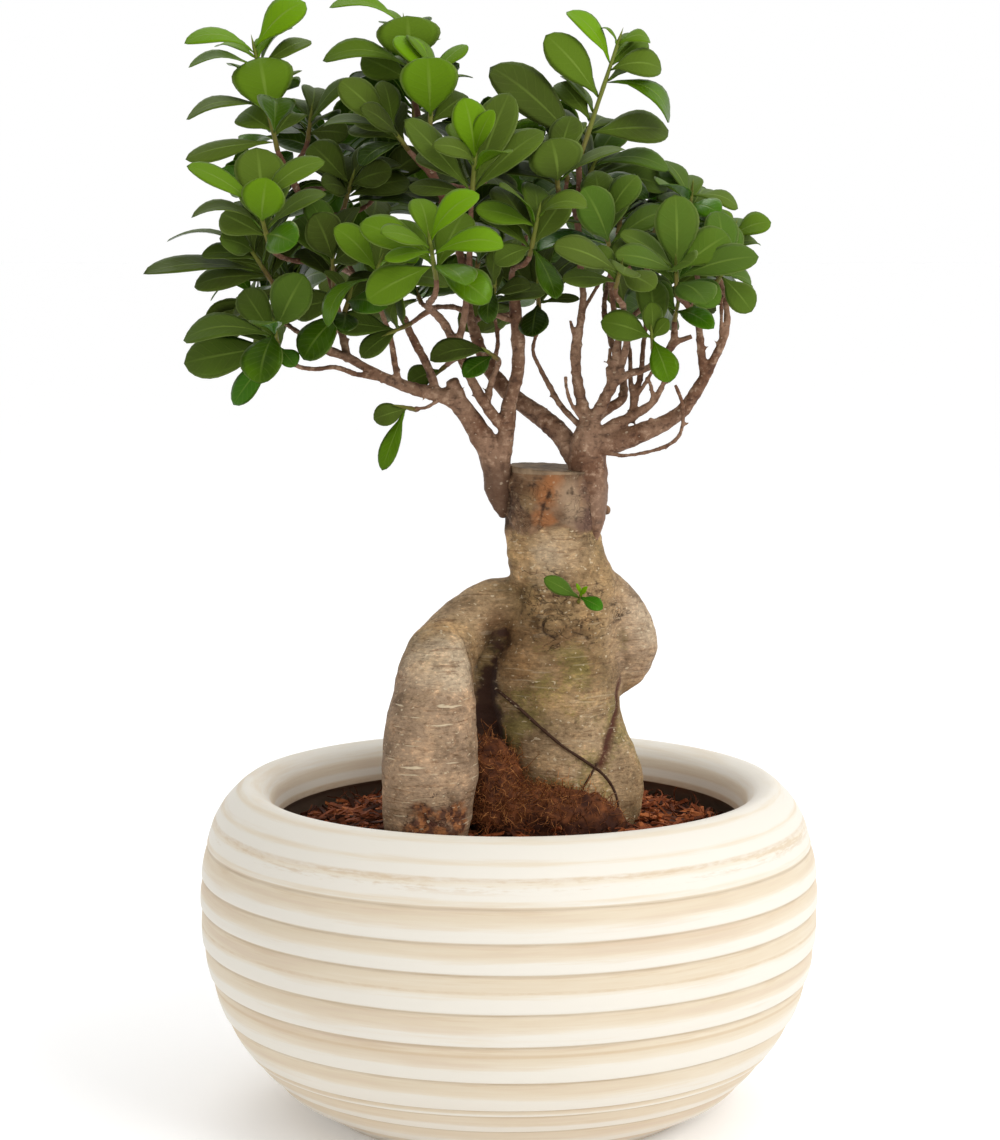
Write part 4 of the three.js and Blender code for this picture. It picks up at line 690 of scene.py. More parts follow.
def fillShoots(grown, extra=False):
    # more leaves round each stem by the golden turn, each swung or shortened until it has room; the extra
    # ones are thinner than the frame's solids, so they fit in between
    room = crown["extraRoom"] if extra else (crown["branchRoom"], crown["bladeRoom"], crown["ownRoom"])
    shares = crown["extraShares"] if extra else crown["shares"]
    wood = []
    for branches in scions.values():
        for points in branches.values():
            radii = [row[3] for row in points]
            wood += sampled(smoothCurve(points), lambda t: between(radii, t))
    for shoot in grown:
        wood += sampled(shoot["twig"], lambda t: crown["stemRadius"])
    wood = np.array(wood)
    taken = [(shoot["name"], bladePoints(leaf)) for shoot in grown for leaf in shoot["leaves"]]
    middles = [points.mean(0) for name, points in taken]
    stems = [[other["base"] + other["stem"] * share for share in (0, 0.25, 0.5, 0.75, 1)] for other in grown]

    def nearer(points, places, room):
        return (((points[:, None, :] - places[None, :, :]) ** 2).sum(2) < np.square(room)).any()

    def hasRoom(points, shoot):
        away = np.linalg.norm(wood[:, :3] - np.array(shoot["base"]), axis=1) > crown["grip"]
        if nearer(points, wood[away, :3], (wood[away, 3] + room[0])[None, :]):
            return False
        others = np.array([stem for other, stem in zip(grown, stems) if other is not shoot]).reshape(-1, 3)
        if nearer(points, others, crown["branchRoom"] + crown["stemRadius"]):
            return False
        close = np.linalg.norm(np.array(middles) - points.mean(0), axis=1) < crown["near"]
        for k in np.flatnonzero(close):
            name, blade = taken[k]
            if nearer(points, blade, room[2] if name == shoot["name"] else room[1]):
                return False
        return True

    lowest, highest = crown["spread"]
    for i, shoot in enumerate(grown):
        stemward = shoot["stem"].normalized()
        side = Vector((1, 0.2, 0.1)).cross(stemward).normalized()
        other = stemward.cross(side)
        count = crown["extraLeaves"] if extra else shoot["fill"]
        for k in range(count):
            along = (k + 0.5) / count
            spread = math.radians(lowest + (highest - lowest) * along)
            root = shoot["base"] + shoot["stem"] * along
            for share, swing in ((share, swing) for share in shares for swing in crown["swings"]):
                turn = i * crown["shootTurn"] + k * crown["goldenTurn"] + swing + crown["extraTurn"] * extra
                turn = math.radians(turn)
                outward = side * math.cos(turn) + other * math.sin(turn)
                length = crown["fillLength"] * share * (1 - crown["shorter"] * along)
                tip = root + stemward * (math.cos(spread) * length) + outward * (math.sin(spread) * length)
                width, arch = crown["fillWidth"] * length, crown["fillArch"] * length
                leaf = makeLeaf(root, tip, stemward, width, arch, along)
                points = bladePoints(leaf)
                leaf["extra"] = extra
                if extra and points[:, 1].mean() < shoot["base"].y + crown["extraBehind"]:
                    continue
                if insideCrown(points) and hasRoom(points, shoot):
                    shoot["leaves"].append(leaf)
                    taken.append((shoot["name"], points))
                    middles.append(points.mean(0))
                    break


print("crown skeleton")
shootList = growShoots()
fillShoots(shootList)
fillShoots(shootList, extra=True)


print("bowl")

bowl = {
    "outline": [                     # radius and height of the outer wall, from the shoulder to the foot
        (117.5, 145.8), (120.5, 143.6), (123.5, 140.7), (126.7, 137), (129.3, 133), (131.3, 129), (133.5, 122),
        (135.1, 115), (136.4, 105), (136.8, 92), (135.7, 76), (132.9, 62), (127.6, 47), (118.8, 32),
        (107, 18), (98.1, 10), (84, 3),
    ],
    "rim": [                         # from the inner lip over to the shoulder
        (103, 129.5), (103.6, 132.5), (104.4, 136), (105.3, 138.6), (106.5, 140.6), (107.9, 142.2),
        (109.5, 143.6), (111.2, 144.5), (113, 145.2), (115.2, 145.8),
    ],
    "grooves": [120.2, 106.5, 93.8, 77.1, 62.7, 46, 31.6, 28.6, 19.8, 10.4],
    "depths": [0.75, 0.9, 0.9, 0.85, 0.9, 0.9, 0.8, 0.5, 0.8, 0.6],
    "wall": [                        # the undercut inner wall down to the floor, and the floor
        (103.2, 129), (104.6, 128.4), (107, 127), (111.5, 122), (116, 113), (119.5, 102), (121, 92), (120, 76),
        (114, 56), (104, 38), (92, 24), (80, 14), (70, 10.4), (40, 10), (0, 10),
    ],
    "foot": [(82.6, 0.8), (80, 0), (40, 0), (0, 0)],
    "steps": 168,
    "waver": 0.3,                    # how unevenly the ribs run round, as thrown by hand
    "ribShares": [0.0, 0.03, 0.08, 0.15, 0.24, 0.34, 0.45, 0.56, 0.67, 0.78, 0.87, 0.94, 0.98],
    "shoulderRings": 15,
    "stripes": [                     # painted lines: height and half width in metres, strength, how broken
        (0.1310, 0.0007, 0.5, 1.5), (0.0860, 0.0005, 0.55, 2.2), (0.0585, 0.0006, 0.8, 0.6),
        (0.0240, 0.0008, 0.4, 1.0),
    ],
    "ivory": (0.750, 0.665, 0.530, 1),
    "white": (0.790, 0.745, 0.660, 1),
    "tan": (0.700, 0.590, 0.435, 1),
    "amber": (0.610, 0.460, 0.290, 1),
    "rose": (0.640, 0.500, 0.385, 1),
    # the painted shadow line under each rib's step
    "line": (0.430, 0.330, 0.230, 1),
    "bareClay": (0.190, 0.125, 0.085, 1),
    "paleClay": (0.370, 0.260, 0.180, 1),
}


def ribProfile():
    wallCurve = smoothCurve([(r, 0, z) for r, z in bowl["outline"]])
    places = [wallCurve(i / 400) for i in range(401)]
    heights, radii = [-place.z for place in places], [place.x for place in places]

    def outside(z, push):            # a point of the outer wall, pushed out square to it
        radius = float(np.interp(-z, heights, radii))
        slope = (float(np.interp(-z - 0.5, heights, radii)) - float(np.interp(-z + 0.5, heights, radii)))
        square = Vector((1, -slope)).normalized()
        return radius + square.x * push, z + square.y * push

    rows = [(r, z, {"bare": 1}) for r, z in reversed(bowl["wall"])]
    rows += [(r, z, {"share": 0.35 + 0.27 * (r > 106)}) for r, z in bowl["rim"]]
    first, shoulder, rings = bowl["grooves"][0], bowl["outline"][0][1], bowl["shoulderRings"]
    for i in range(rings):
        z = shoulder + (first + 0.5 - shoulder) * i / (rings - 1)
        rows.append((*outside(z, 0), {"share": 0.5 + 0.4 * math.sin(i * 0.75 - 0.6) ** 2}))
    for top, low, depth in zip(bowl["grooves"], [*bowl["grooves"][1:], 3.4], bowl["depths"]):
        for share in bowl["ribShares"]:
            z = top - 0.55 - (top - 0.55 - low - 0.25) * share
            swell = math.sin(math.pi / 2 * min(share / 0.8, 1))
            push = depth * (-0.62 + 1.05 * swell - 0.12 * max(share - 0.8, 0))
            # line marks the painted shadow just under each step; share runs from that recess down to the rib's
            # proud lower part
            rows.append((*outside(z, push), {"share": share, "line": max(0.0, 1 - share / 0.07)}))
    rows += [(r, z, {"share": 0.5}) for r, z in bowl["foot"]]
    return rows


def bowlMaterial():
    material, shader, place = painted("ivory wash over clay", {"Roughness": 0.55})
    share, line, bare = (attributeOf(place, name) for name in ("share", "line", "bare"))
    height = heightOf(place)
    drag = grain(place, 15, (1, 1, 22), 4, 0.62)            # the brush was dragged round the bowl
    thin = grain(place, 42, (1, 1, 26), 3, 0.6)
    fine = grain(place, 190, (1, 1, 5), 3, 0.6)
    cloud = grain(place, 9, (1, 1, 3.5), 2)
    # the glaze's own brushed tones mixed with painted shade and painted light: tan in the recess just under
    # each step, white on each rib's proud lower part
    washAndShade = share.rise(0.78, 0.28) + (drag - 0.5) * 1.1 + (thin - 0.5) * 0.5 + (cloud - 0.5) * 0.8
    colour = mixed(washAndShade.rise(0.1, 0.6), bowl["white"], bowl["ivory"])
    colour = mixed(washAndShade.rise(0.45, 1.15), colour, bowl["tan"])
    streak = share.rise(0.5, 0.0) + (thin - 0.5) * 2.4 + (cloud - 0.5) * 1.5
    colour = mixed(streak.rise(0.8, 1.4) * 0.5, colour, bowl["amber"])
    blush = (cloud * 0.6 + drag * 0.6).rise(0.60, 0.8) * share.rise(0.9, 0.2) + height.rise(0.05, 0.0) * 0.35
    colour = mixed(blush * 0.55, colour, bowl["rose"])
    for centre, half, strength, breaks in bowl["stripes"]:
        wander = height + (cloud - 0.5) * 0.0012
        stripe = abs(wander - centre).rise(half * 1.9, half * 0.4)
        colour = mixed(stripe * ((fine - 0.5) * breaks + 0.8) * strength, colour, bowl["amber"])
    band = height.rise(0.1315, 0.1328) * height.rise(0.1362, 0.1348)
    colour = mixed(band * 0.7, colour, bowl["white"])
    blotch = height.rise(0.1245, 0.128) * height.rise(0.1325, 0.1305)
    blotch = blotch * (drag + (fine - 0.5) * 0.5).rise(0.48, 0.66)
    colour = mixed(blotch * 0.5, colour, bowl["amber"])
    # painted shadow line under each rib's step
    colour = mixed(line * (0.55 + (thin - 0.5) * 0.9), colour, bowl["line"])
    clay = mixed(grain(place, 60, (1, 1, 3), 4), bowl["bareClay"], bowl["paleClay"])
    colour = mixed(bare.rise(0.4, 0.6), colour, clay)
    relief = drag * 0.35 + thin * 0.3 + fine * 0.25 + grain(place, 900, (1, 1, 1), 3) * 0.12
    feed(shader, {
        "Base Color": colour,
        "Roughness": 0.5 + fine * 0.2 + bare * 0.15,
        "Normal": bumped(relief, 0.3, 0.5),
    })
    return material


bm = spunShape(ribProfile(), bowl["steps"], ("share", "line", "bare"))
for corner in bm.verts:              # slight unevenness of a hand-thrown wall
    flat = Vector((corner.co.x, corner.co.y, 0))
    if flat.length > 0.07 and corner.co.z > 0.006:
        turn = flat.normalized() * 1.3
        lift = noise.noise(Vector((turn.x, turn.y, corner.co.z * 45)))
        push = noise.noise(Vector((turn.x * 1.6 + 5, turn.y * 1.6, corner.co.z * 60)))
        corner.co += flat.normalized() * (push - 0.5) * bowl["waver"] * mm
        if corner.co.z < 0.126:
            corner.co.z += lift * bowl["waver"] * 1.6 * mm
finishPiece(bm, "ribbedBowl", [bowlMaterial()], ["bowl"])

print("rootstock")

rootstock = {
    "limbs": {                       # rows of x, y, z, radius
        "trunk": [
            [28, 0, 98, 24], [28, 0, 120, 28], [27.5, 0, 138, 29.5], [26, 0, 155, 28.6], [22.4, 1, 173, 27.6],
            [21.4, 2, 191, 28.4], [22.6, 2, 209, 26.2], [24.5, 2, 227, 23.6], [21.6, 1, 242, 21.6],
            [19.4, 0, 258, 20], [18.9, 0, 272, 20.2], [19.8, 0, 287.5, 20.1],
        ],
        "arch": [
            [7, 5, 223, 13], [-8.4, 4, 222, 13], [-23, -8, 212.5, 13.4], [-31, -28, 201, 15.6],
            [-33, -42, 183, 19.6], [-34, -50, 160.5, 21], [-35, -53, 141, 19], [-35, -53, 118, 16],
            [-34, -52, 100, 12],
        ],
        "nose": [[-25, -27, 213, 5.5], [-26.5, -34, 206, 9.5], [-29, -42, 192, 14], [-31, -46, 176, 16]],
        "bulge": [
            [30, 4, 236, 13], [45.5, 10, 219, 14.5], [49.5, 13, 205, 17], [45, 14, 194, 14], [30, 12, 182, 9],
        ],
        "heel": [[28, -2, 168, 20], [38, -4, 150, 21], [38, -5, 132, 20], [36, -5, 105, 16]],
        "knee": [[14, -2, 205, 18], [8, -6, 192, 15], [12, -8, 172, 16], [20, -8, 150, 18]],
        "web": [[-4, 2, 214, 10], [-8, 2, 196, 8], [-10, 0, 176, 8], [-10, -2, 150, 10], [-10, -4, 118, 12]],
        "stub": [[33, 4, 266.5, 2.6], [39, 3, 266.5, 2.6], [44.6, 1.5, 266, 2.2]],
        "callus": [[2, -1, 252, 3], [1, -1.5, 258, 3.2], [0.3, -1.5, 262, 3.2], [0.4, -1.5, 266, 2.4]],
    },
    "limbSpacing": 4,                # between the rings of a limb, which has so many sides
    "limbSides": 36,
    "voxel": 1.05,
    "smoothing": 12,
    # seen from the front: x, z, reach, height; a negative height is a hollow
    "lumps": [
        (1.6, 248.5, 4.2, 2.0), (19.4, 245, 4.5, 0.9), (47, 223, 4.5, 1.4), (36, 217.5, 8, 1.3),
        (30.2, 175.5, 4, 1.4),
        (8, 200, 9, 1.4), (44, 238, 6, 0.9), (19.4, 218.5, 8.5, 1.5), (52, 190, 5, 1.2),
        (24, 257, 12, -0.6), (5, 228, 6, -0.8), (28, 202, 9, -0.9), (58, 189, 3, 0.9),
        (-27, 184, 9, 0.8), (-44, 160, 8, 0.6), (-24, 140, 6, 0.8), (-44, 141, 6, 1.0), (-37, 143, 4, -1.6),
        (-23, 141, 4, -1.2), (-30, 147, 4, 0.8),
        (10, 263, 7, 1.1), (31, 262, 5, 0.8), (7, 275, 6, 0.8), (18, 276, 5, -0.7), (23, 268, 5, 0.6),
        (40, 160, 7, 0.7), (12, 160, 8, 0.7), (7.5, 244.5, 1.6, -1.2), (33.8, 244.5, 1.6, -1.1),
        (12, 232, 1.5, -0.9), (28, 252, 1.2, -0.8), (50, 210, 9, 0.5), (24, 150, 6, 0.6), (3, 238, 4, 0.7),
        (14, 233, 3, 0.6), (26, 235, 3, -0.6), (34, 236, 3.5, 0.8), (8, 222, 3, 0.7), (40, 228, 3, -0.6),
        (12, 225, 2.2, -0.6), (28, 226, 2.5, 0.6), (19, 206, 6, -0.6), (10, 212, 3, -0.5), (41, 246, 2.2, 0.6),
    ],
    # scars where branches were cut: x, z, radius, height, strength of the painted shade on the outline
    "scars": [(19.3, 218, 4.2, 1.5, 0.7), (36, 217.5, 5.2, 0.7, 0.55), (47.4, 223.3, 2.8, 0.7, 0.8),
              (19.2, 245, 2.8, 0.6, 0.6), (30.2, 175.5, 2.1, 0.8, 0.9), (-37, 143, 3.2, -0.8, 1.0)],
    "creaseStep": 0.8,
    # cracks and folds: rows of x, z along each, then reach, depth and strength of the painted shade along them
    "creases": [
        ([(-26, 221), (-22, 217), (-19, 212), (-16.5, 204), (-14, 190)], 1.5, 0.9, 0.5),
        ([(48.8, 191), (47.6, 186), (47.8, 180), (46.2, 174), (43.5, 169), (42, 164), (39.7, 158)],
         1.3, 1.4, 1.0),
        ([(12.3, 260), (14, 266), (15.5, 272), (19, 280)], 0.9, 0.7, 0.8),
        ([(-1, 263), (0.5, 270), (-0.5, 279), (0.5, 287)], 1.0, 0.8, 0.95),
        ([(4, 204), (14, 201), (26, 203), (40, 200)], 1.4, 0.5, 0.15),
        ([(2, 186), (14, 190), (28, 189), (46, 192)], 1.3, 0.5, 0.25),
        ([(28.5, 171), (33, 176), (40, 178.5), (47, 180)], 1.0, 0.5, 0.45),
        ([(21, 158), (17, 150), (14, 142)], 1.0, 0.4, 0.3),
        ([(2, 257.5), (8, 256.5), (14, 258), (18, 261.5), (27, 261), (31, 256), (38, 255.5)], 0.9, 0.35, 0.4),
        ([(11, 226), (13, 232), (11, 238)], 1.1, 0.6, 0.5),
        ([(26, 230), (31, 233), (36, 231), (40, 234)], 1.0, 0.6, 0.5),
        ([(3, 218), (5, 224), (4, 231), (7, 236)], 1.2, 0.6, 0.5),
        ([(24, 207), (30, 209), (35, 208), (40, 211)], 1.0, 0.5, 0.4),
        ([(2.5, 177), (10, 175), (20, 172)], 0.9, 0.35, 0.2),
    ],
    "cut": (19.8, 285.3, 0.065),     # the sawn top's middle, its height there and how it rises to the left
    "threads": [                     # thin dark aerial roots on the bark
        [
            [-6, -17, 190, 0.75], [4, -21.8, 182.5, 0.75], [14, -25.6, 174, 0.7], [24, -28, 166, 0.68],
            [33, -28.2, 160, 0.65], [40, -25.8, 154.5, 0.65], [45.5, -24.0, 147, 0.6], [47.6, -23.0, 139, 0.6],
            [47.8, -22.2, 128, 0.6],
        ],
        [[38.4, -26.4, 158.6, 0.45], [34.5, -28, 152, 0.5], [31, -29, 146, 0.5], [29.6, -29.6, 139, 0.4]],
    ],
    "olive": (0.215, 0.143, 0.060, 1),
    "tan": (0.345, 0.224, 0.105, 1),
    "paleTan": (0.440, 0.305, 0.175, 1),
    "creamy": (0.500, 0.390, 0.265, 1),
    "pinkTan": (0.380, 0.262, 0.165, 1),
    "mauve": (0.265, 0.178, 0.112, 1),
    "brown": (0.145, 0.072, 0.031, 1),
    "dark": (0.028, 0.013, 0.008, 1),
    "rust": (0.370, 0.138, 0.045, 1),
    "purple": (0.130, 0.068, 0.048, 1),
    "torn": (0.085, 0.026, 0.014, 1),
    "moss": (0.170, 0.150, 0.030, 1),
    "fleck": (0.720, 0.590, 0.400, 1),
    "root": (0.060, 0.028, 0.015, 1),
    # the colour of the painted shade in the gap between the leg and the trunk
    "gapShade": (0.052, 0.022, 0.013, 1),
    "lighter": (2.0, 1.9, 1.8, 1),
    "darker": (0.44, 0.40, 0.36, 1),
    "stump": ((0.085, 0.042, 0.022, 1), (0.280, 0.160, 0.088, 1)),
    "sawn": ((0.330, 0.230, 0.140, 1), (0.150, 0.100, 0.060, 1)),
    # painted areas: centre, radius, soft edge, strength and colour
    "zones": [
        ((4, -22, 205), 17, 0.8, 0.6, "brown"), ((10, -30, 180), 24, 0.7, 0.35, "olive"),
        ((24, -24, 248), 14, 0.5, 0.8, "paleTan"), ((16, -22, 256), 9, 0.6, 0.6, "paleTan"),
        ((14, -22, 247), 9, 0.6, 0.5, "creamy"),
        ((60, 6, 212), 25, 0.4, 0.9, "pinkTan"), ((66, 2, 222), 15, 0.6, 0.75, "creamy"),
        ((28, -30, 206), 14, 0.6, 0.6, "brown"), ((36, -30, 158), 25, 0.8, 0.9, "paleTan"),
        ((-36, -50, 165), 46, 0.25, 0.95, "mauve"), ((-30, -62, 186), 20, 0.8, 0.6, "pinkTan"),
        ((-28, -44, 208), 15, 0.45, 0.85, "creamy"), ((-33, -75, 154), 24, 0.8, 0.85, "pinkTan"),
        # the brown spot at x -6 is painted shade on the arch behind the leg; the dark spots below it are
        # painted shade in the gap between the leg and the trunk
        ((-22, -6, 222), 18, 0.7, 0.85, "paleTan"), ((-6, -5, 214), 11, 0.6, 0.7, "brown"),
        ((-4, -9, 206), 6, 0.5, 0.8, "dark"), ((-8, -9, 190), 9, 0.4, 0.9, "dark"),
        ((-9, -11, 172), 12, 0.35, 0.95, "dark"), ((-3, -16, 210), 5, 0.5, 0.7, "dark"),
        ((1.5, -16, 249), 4.2, 0.4, 0.8, "paleTan"),
    ],
    "rough": [                       # where the bark is scaly: centre, radius and soft edge
        ((16, -24, 230), 15, 0.4), ((36, -16, 234), 10, 0.5), ((19, -27, 215), 10, 0.5),
        ((36, -22, 217), 9, 0.5), ((48, -8, 222), 8, 0.5), ((4, -18, 240), 9, 0.5), ((-33, -72, 140), 13, 0.6),
        ((6, -22, 270), 14, 0.6), ((38, -14, 268), 14, 0.6),
    ],
    "gapShadeSpots": [                    # painted shade in the gap between the leg and the trunk
        ((-3.5, -9, 213), 3, 0.35), ((-4, -9, 208), 3.5, 0.35), ((-6, -9, 201), 4.5, 0.35),
        ((-9, -8, 195), 6, 0.35), ((-10, -9, 185), 8.5, 0.35), ((-10, -10, 173), 10, 0.35),
        ((-10, -11, 160), 11, 0.35),
    ],
    "tornFoot": [((-37, -74, 143), 6, 0.5), ((-22, -66, 141), 6, 0.5), ((-30, -72, 138), 8, 0.5)],
    "stumpPatches": [
        ((16, -20, 276), 6, 0.5, 0.8, "rust"), ((14.5, -20, 265), 4.5, 0.5, 0.7, "rust"),
        ((20, -20, 281), 4.5, 0.5, 0.6, "rust"), ((8, -19, 272), 4, 0.5, 0.5, "tan"),
        ((27, -19, 275), 7, 0.5, 0.7, "pinkTan"), ((30, -18, 266), 6, 0.5, 0.6, "pinkTan"),
        ((33, -14, 277), 6, 0.5, 0.75, "purple"), ((36, -13, 261), 7, 0.5, 0.95, "purple"),
        ((4, -18, 262), 5, 0.5, 0.6, "brown"), ((7, -19, 281), 8, 0.5, 0.6, "brown"),
    ],
}


def barkMaterial():
    look = rootstock
    material, shader, place = painted("root bark", {"Specular IOR Level": 0.2})
    height = heightOf(place)
    broad = grain(place, 24, (1, 1, 1), 3, 0.55)
    middle = grain(place, 75, (1, 1, 1.4), 4, 0.6)
    lined = grain(place, 150, (0.4, 0.4, 4), 4, 0.65, 0.6)    # long fine lines across the limb
    hair = grain(place, 230, (0.8, 0.8, 7), 3, 0.6, 0.8)
    upright = grain(place, 190, (4, 4, 1), 3, 0.6)
    small = grain(place, 260, (1, 1, 1), 3, 0.6)
    fine = grain(place, 620, (1, 1, 1.6), 3, 0.6)
    ragged = (middle - 0.5) * 0.02 + (broad - 0.5) * 0.02

    def paint(colour, areas, wobble):
        for centre, radius, edge, strength, name in areas:
            colour = mixed(spot(place, centre, radius, edge, wobble) * strength, colour, look[name])
        return colour

    def anyOf(areas):
        mask = None
        for centre, radius, edge in areas:
            area = spot(place, centre, radius, edge, ragged)
            mask = mask | area if mask else area
        return mask

    scaly = anyOf(look["rough"])
    wandering = abs(grain(place, 120, (1, 1, 1.5), 3, 0.55, 0.9) - 0.5).rise(0.022, 0.004)
    cracks = wandering * (scaly * 1.1 + (small - 0.5) * 2.2).rise(0.35, 0.9)

    colour = mixed((broad + (middle - 0.5) * 0.6).rise(0.36, 0.62), look["olive"], look["tan"])
    colour = paint(colour, look["zones"], ragged)
    moss = (grain(place, 38, (1, 1, 1), 3) + (fine - 0.5) * 0.3).rise(0.48, 0.62) * height.rise(0.236, 0.200)
    speckle = grain(place, 400, (1, 1, 2), 4, 0.7)
    mottle = grain(place, 52, (1, 1, 1.2), 5, 0.66)
    blotch = grain(place, 110, (1, 1, 1.3), 4, 0.65)
    pits = small.rise(0.68, 0.75) * (0.35 + scaly * 0.65)
    colour = layered(colour, look, [
        (middle.rise(0.5, 0.72) * 0.35, "paleTan"), (small.rise(0.46, 0.30) * 0.4, "brown"),
        (lined.rise(0.53, 0.68) * 0.6, "brown"), (hair.rise(0.58, 0.70) * 0.35, "brown"),
        (upright.rise(0.60, 0.74) * 0.25, "brown"),
        (moss * spot(place, (28, -10, 175), 46, 0.3) * 0.55, "moss"),
    ])
    colour = layered(colour, look, [
        (speckle.rise(0.50, 0.78) * 0.8, "lighter"), (speckle.rise(0.50, 0.24) * 0.9, "darker"),
        (mottle.rise(0.50, 0.68) * 0.5, "lighter"), (mottle.rise(0.49, 0.33) * 0.6, "darker"),
        (blotch.rise(0.50, 0.36) * (0.3 + scaly * 0.6), "darker"),
    ], "MULTIPLY")
    colour = layered(colour, look, [(cracks * 0.6, "dark"), (pits * 0.8, "dark")])
    graftEdge = height + (middle - 0.5) * 0.016 - spot(place, (20, -22, 256), 9, 0.5) * 0.004
    aboveGraft = graftEdge.rise(0.2565, 0.2595)
    topColour = mixed((middle + (broad - 0.5) * 0.8).rise(0.36, 0.66), *look["stump"])
    rough = (middle - 0.5) * 0.016 + (small - 0.5) * 0.006
    topColour = paint(topColour, look["stumpPatches"], rough)
    knobs = grain(place, 150, (1, 1, 1), 4)
    topColour = layered(topColour, look, [
        (knobs.rise(0.53, 0.66) * 0.8, "dark"), (small.rise(0.58, 0.70) * 0.45, "paleTan"),
    ])
    colour = mixed(aboveGraft * 0.95, colour, topColour)
    sawn = height.rise(0.2836, 0.2841)
    colour = mixed(sawn * 0.85, colour, mixed(knobs.rise(0.3, 0.7), *look["sawn"]))
    foot = anyOf(look["tornFoot"])
    colour = mixed(foot * 0.9, colour, mixed(small.rise(0.44, 0.6), look["torn"], look["rust"]))
    # painted shade in the gap between the leg and the trunk
    gapShade = anyOf(look["gapShadeSpots"])
    # hollow holds the painted shade round the scars and along the creases
    hollowShade, torn, root = (attributeOf(place, name) for name in ("hollowShade", "torn", "root"))
    colour = layered(colour, look, [
        (gapShade * 0.95, "gapShade"), (hollowShade.rise(0.05, 0.85) * 0.9, "dark"),
        (torn * (middle + fine).rise(0.7, 1.0), "torn"), (root, "root"),
    ])
    onLeg = spot(place, (-34, -66, 160), 42, 0.2)
    dashes = grain(place, 190, (0.32, 0.32, 3.4), 2, 0.5).rise(0.635, 0.67) * grain(place, 30).rise(0.42, 0.54)
    specks = grain(place, 430, (1, 1, 1.6), 1, 0.4).rise(0.68, 0.74)
    flecks = (dashes * (0.25 + onLeg * 0.75) | specks * 0.8) * (1.0 - aboveGraft * 0.6) * (1.0 - gapShade)
    colour = mixed(flecks * 0.7, colour, look["fleck"])
    relief = lined * 0.5 + hair * 0.3 + fine * 0.22 + middle * 0.4 + small * 0.3 + flecks * 0.2
    relief = relief - pits * 0.6 - cracks * 0.6 - upright * 0.15
    feed(shader, {
        "Base Color": colour,
        "Roughness": 0.62 + middle * 0.2,
        "Normal": bumped(relief + speckle * 0.3, 0.85, 0.9),
    })
    return material


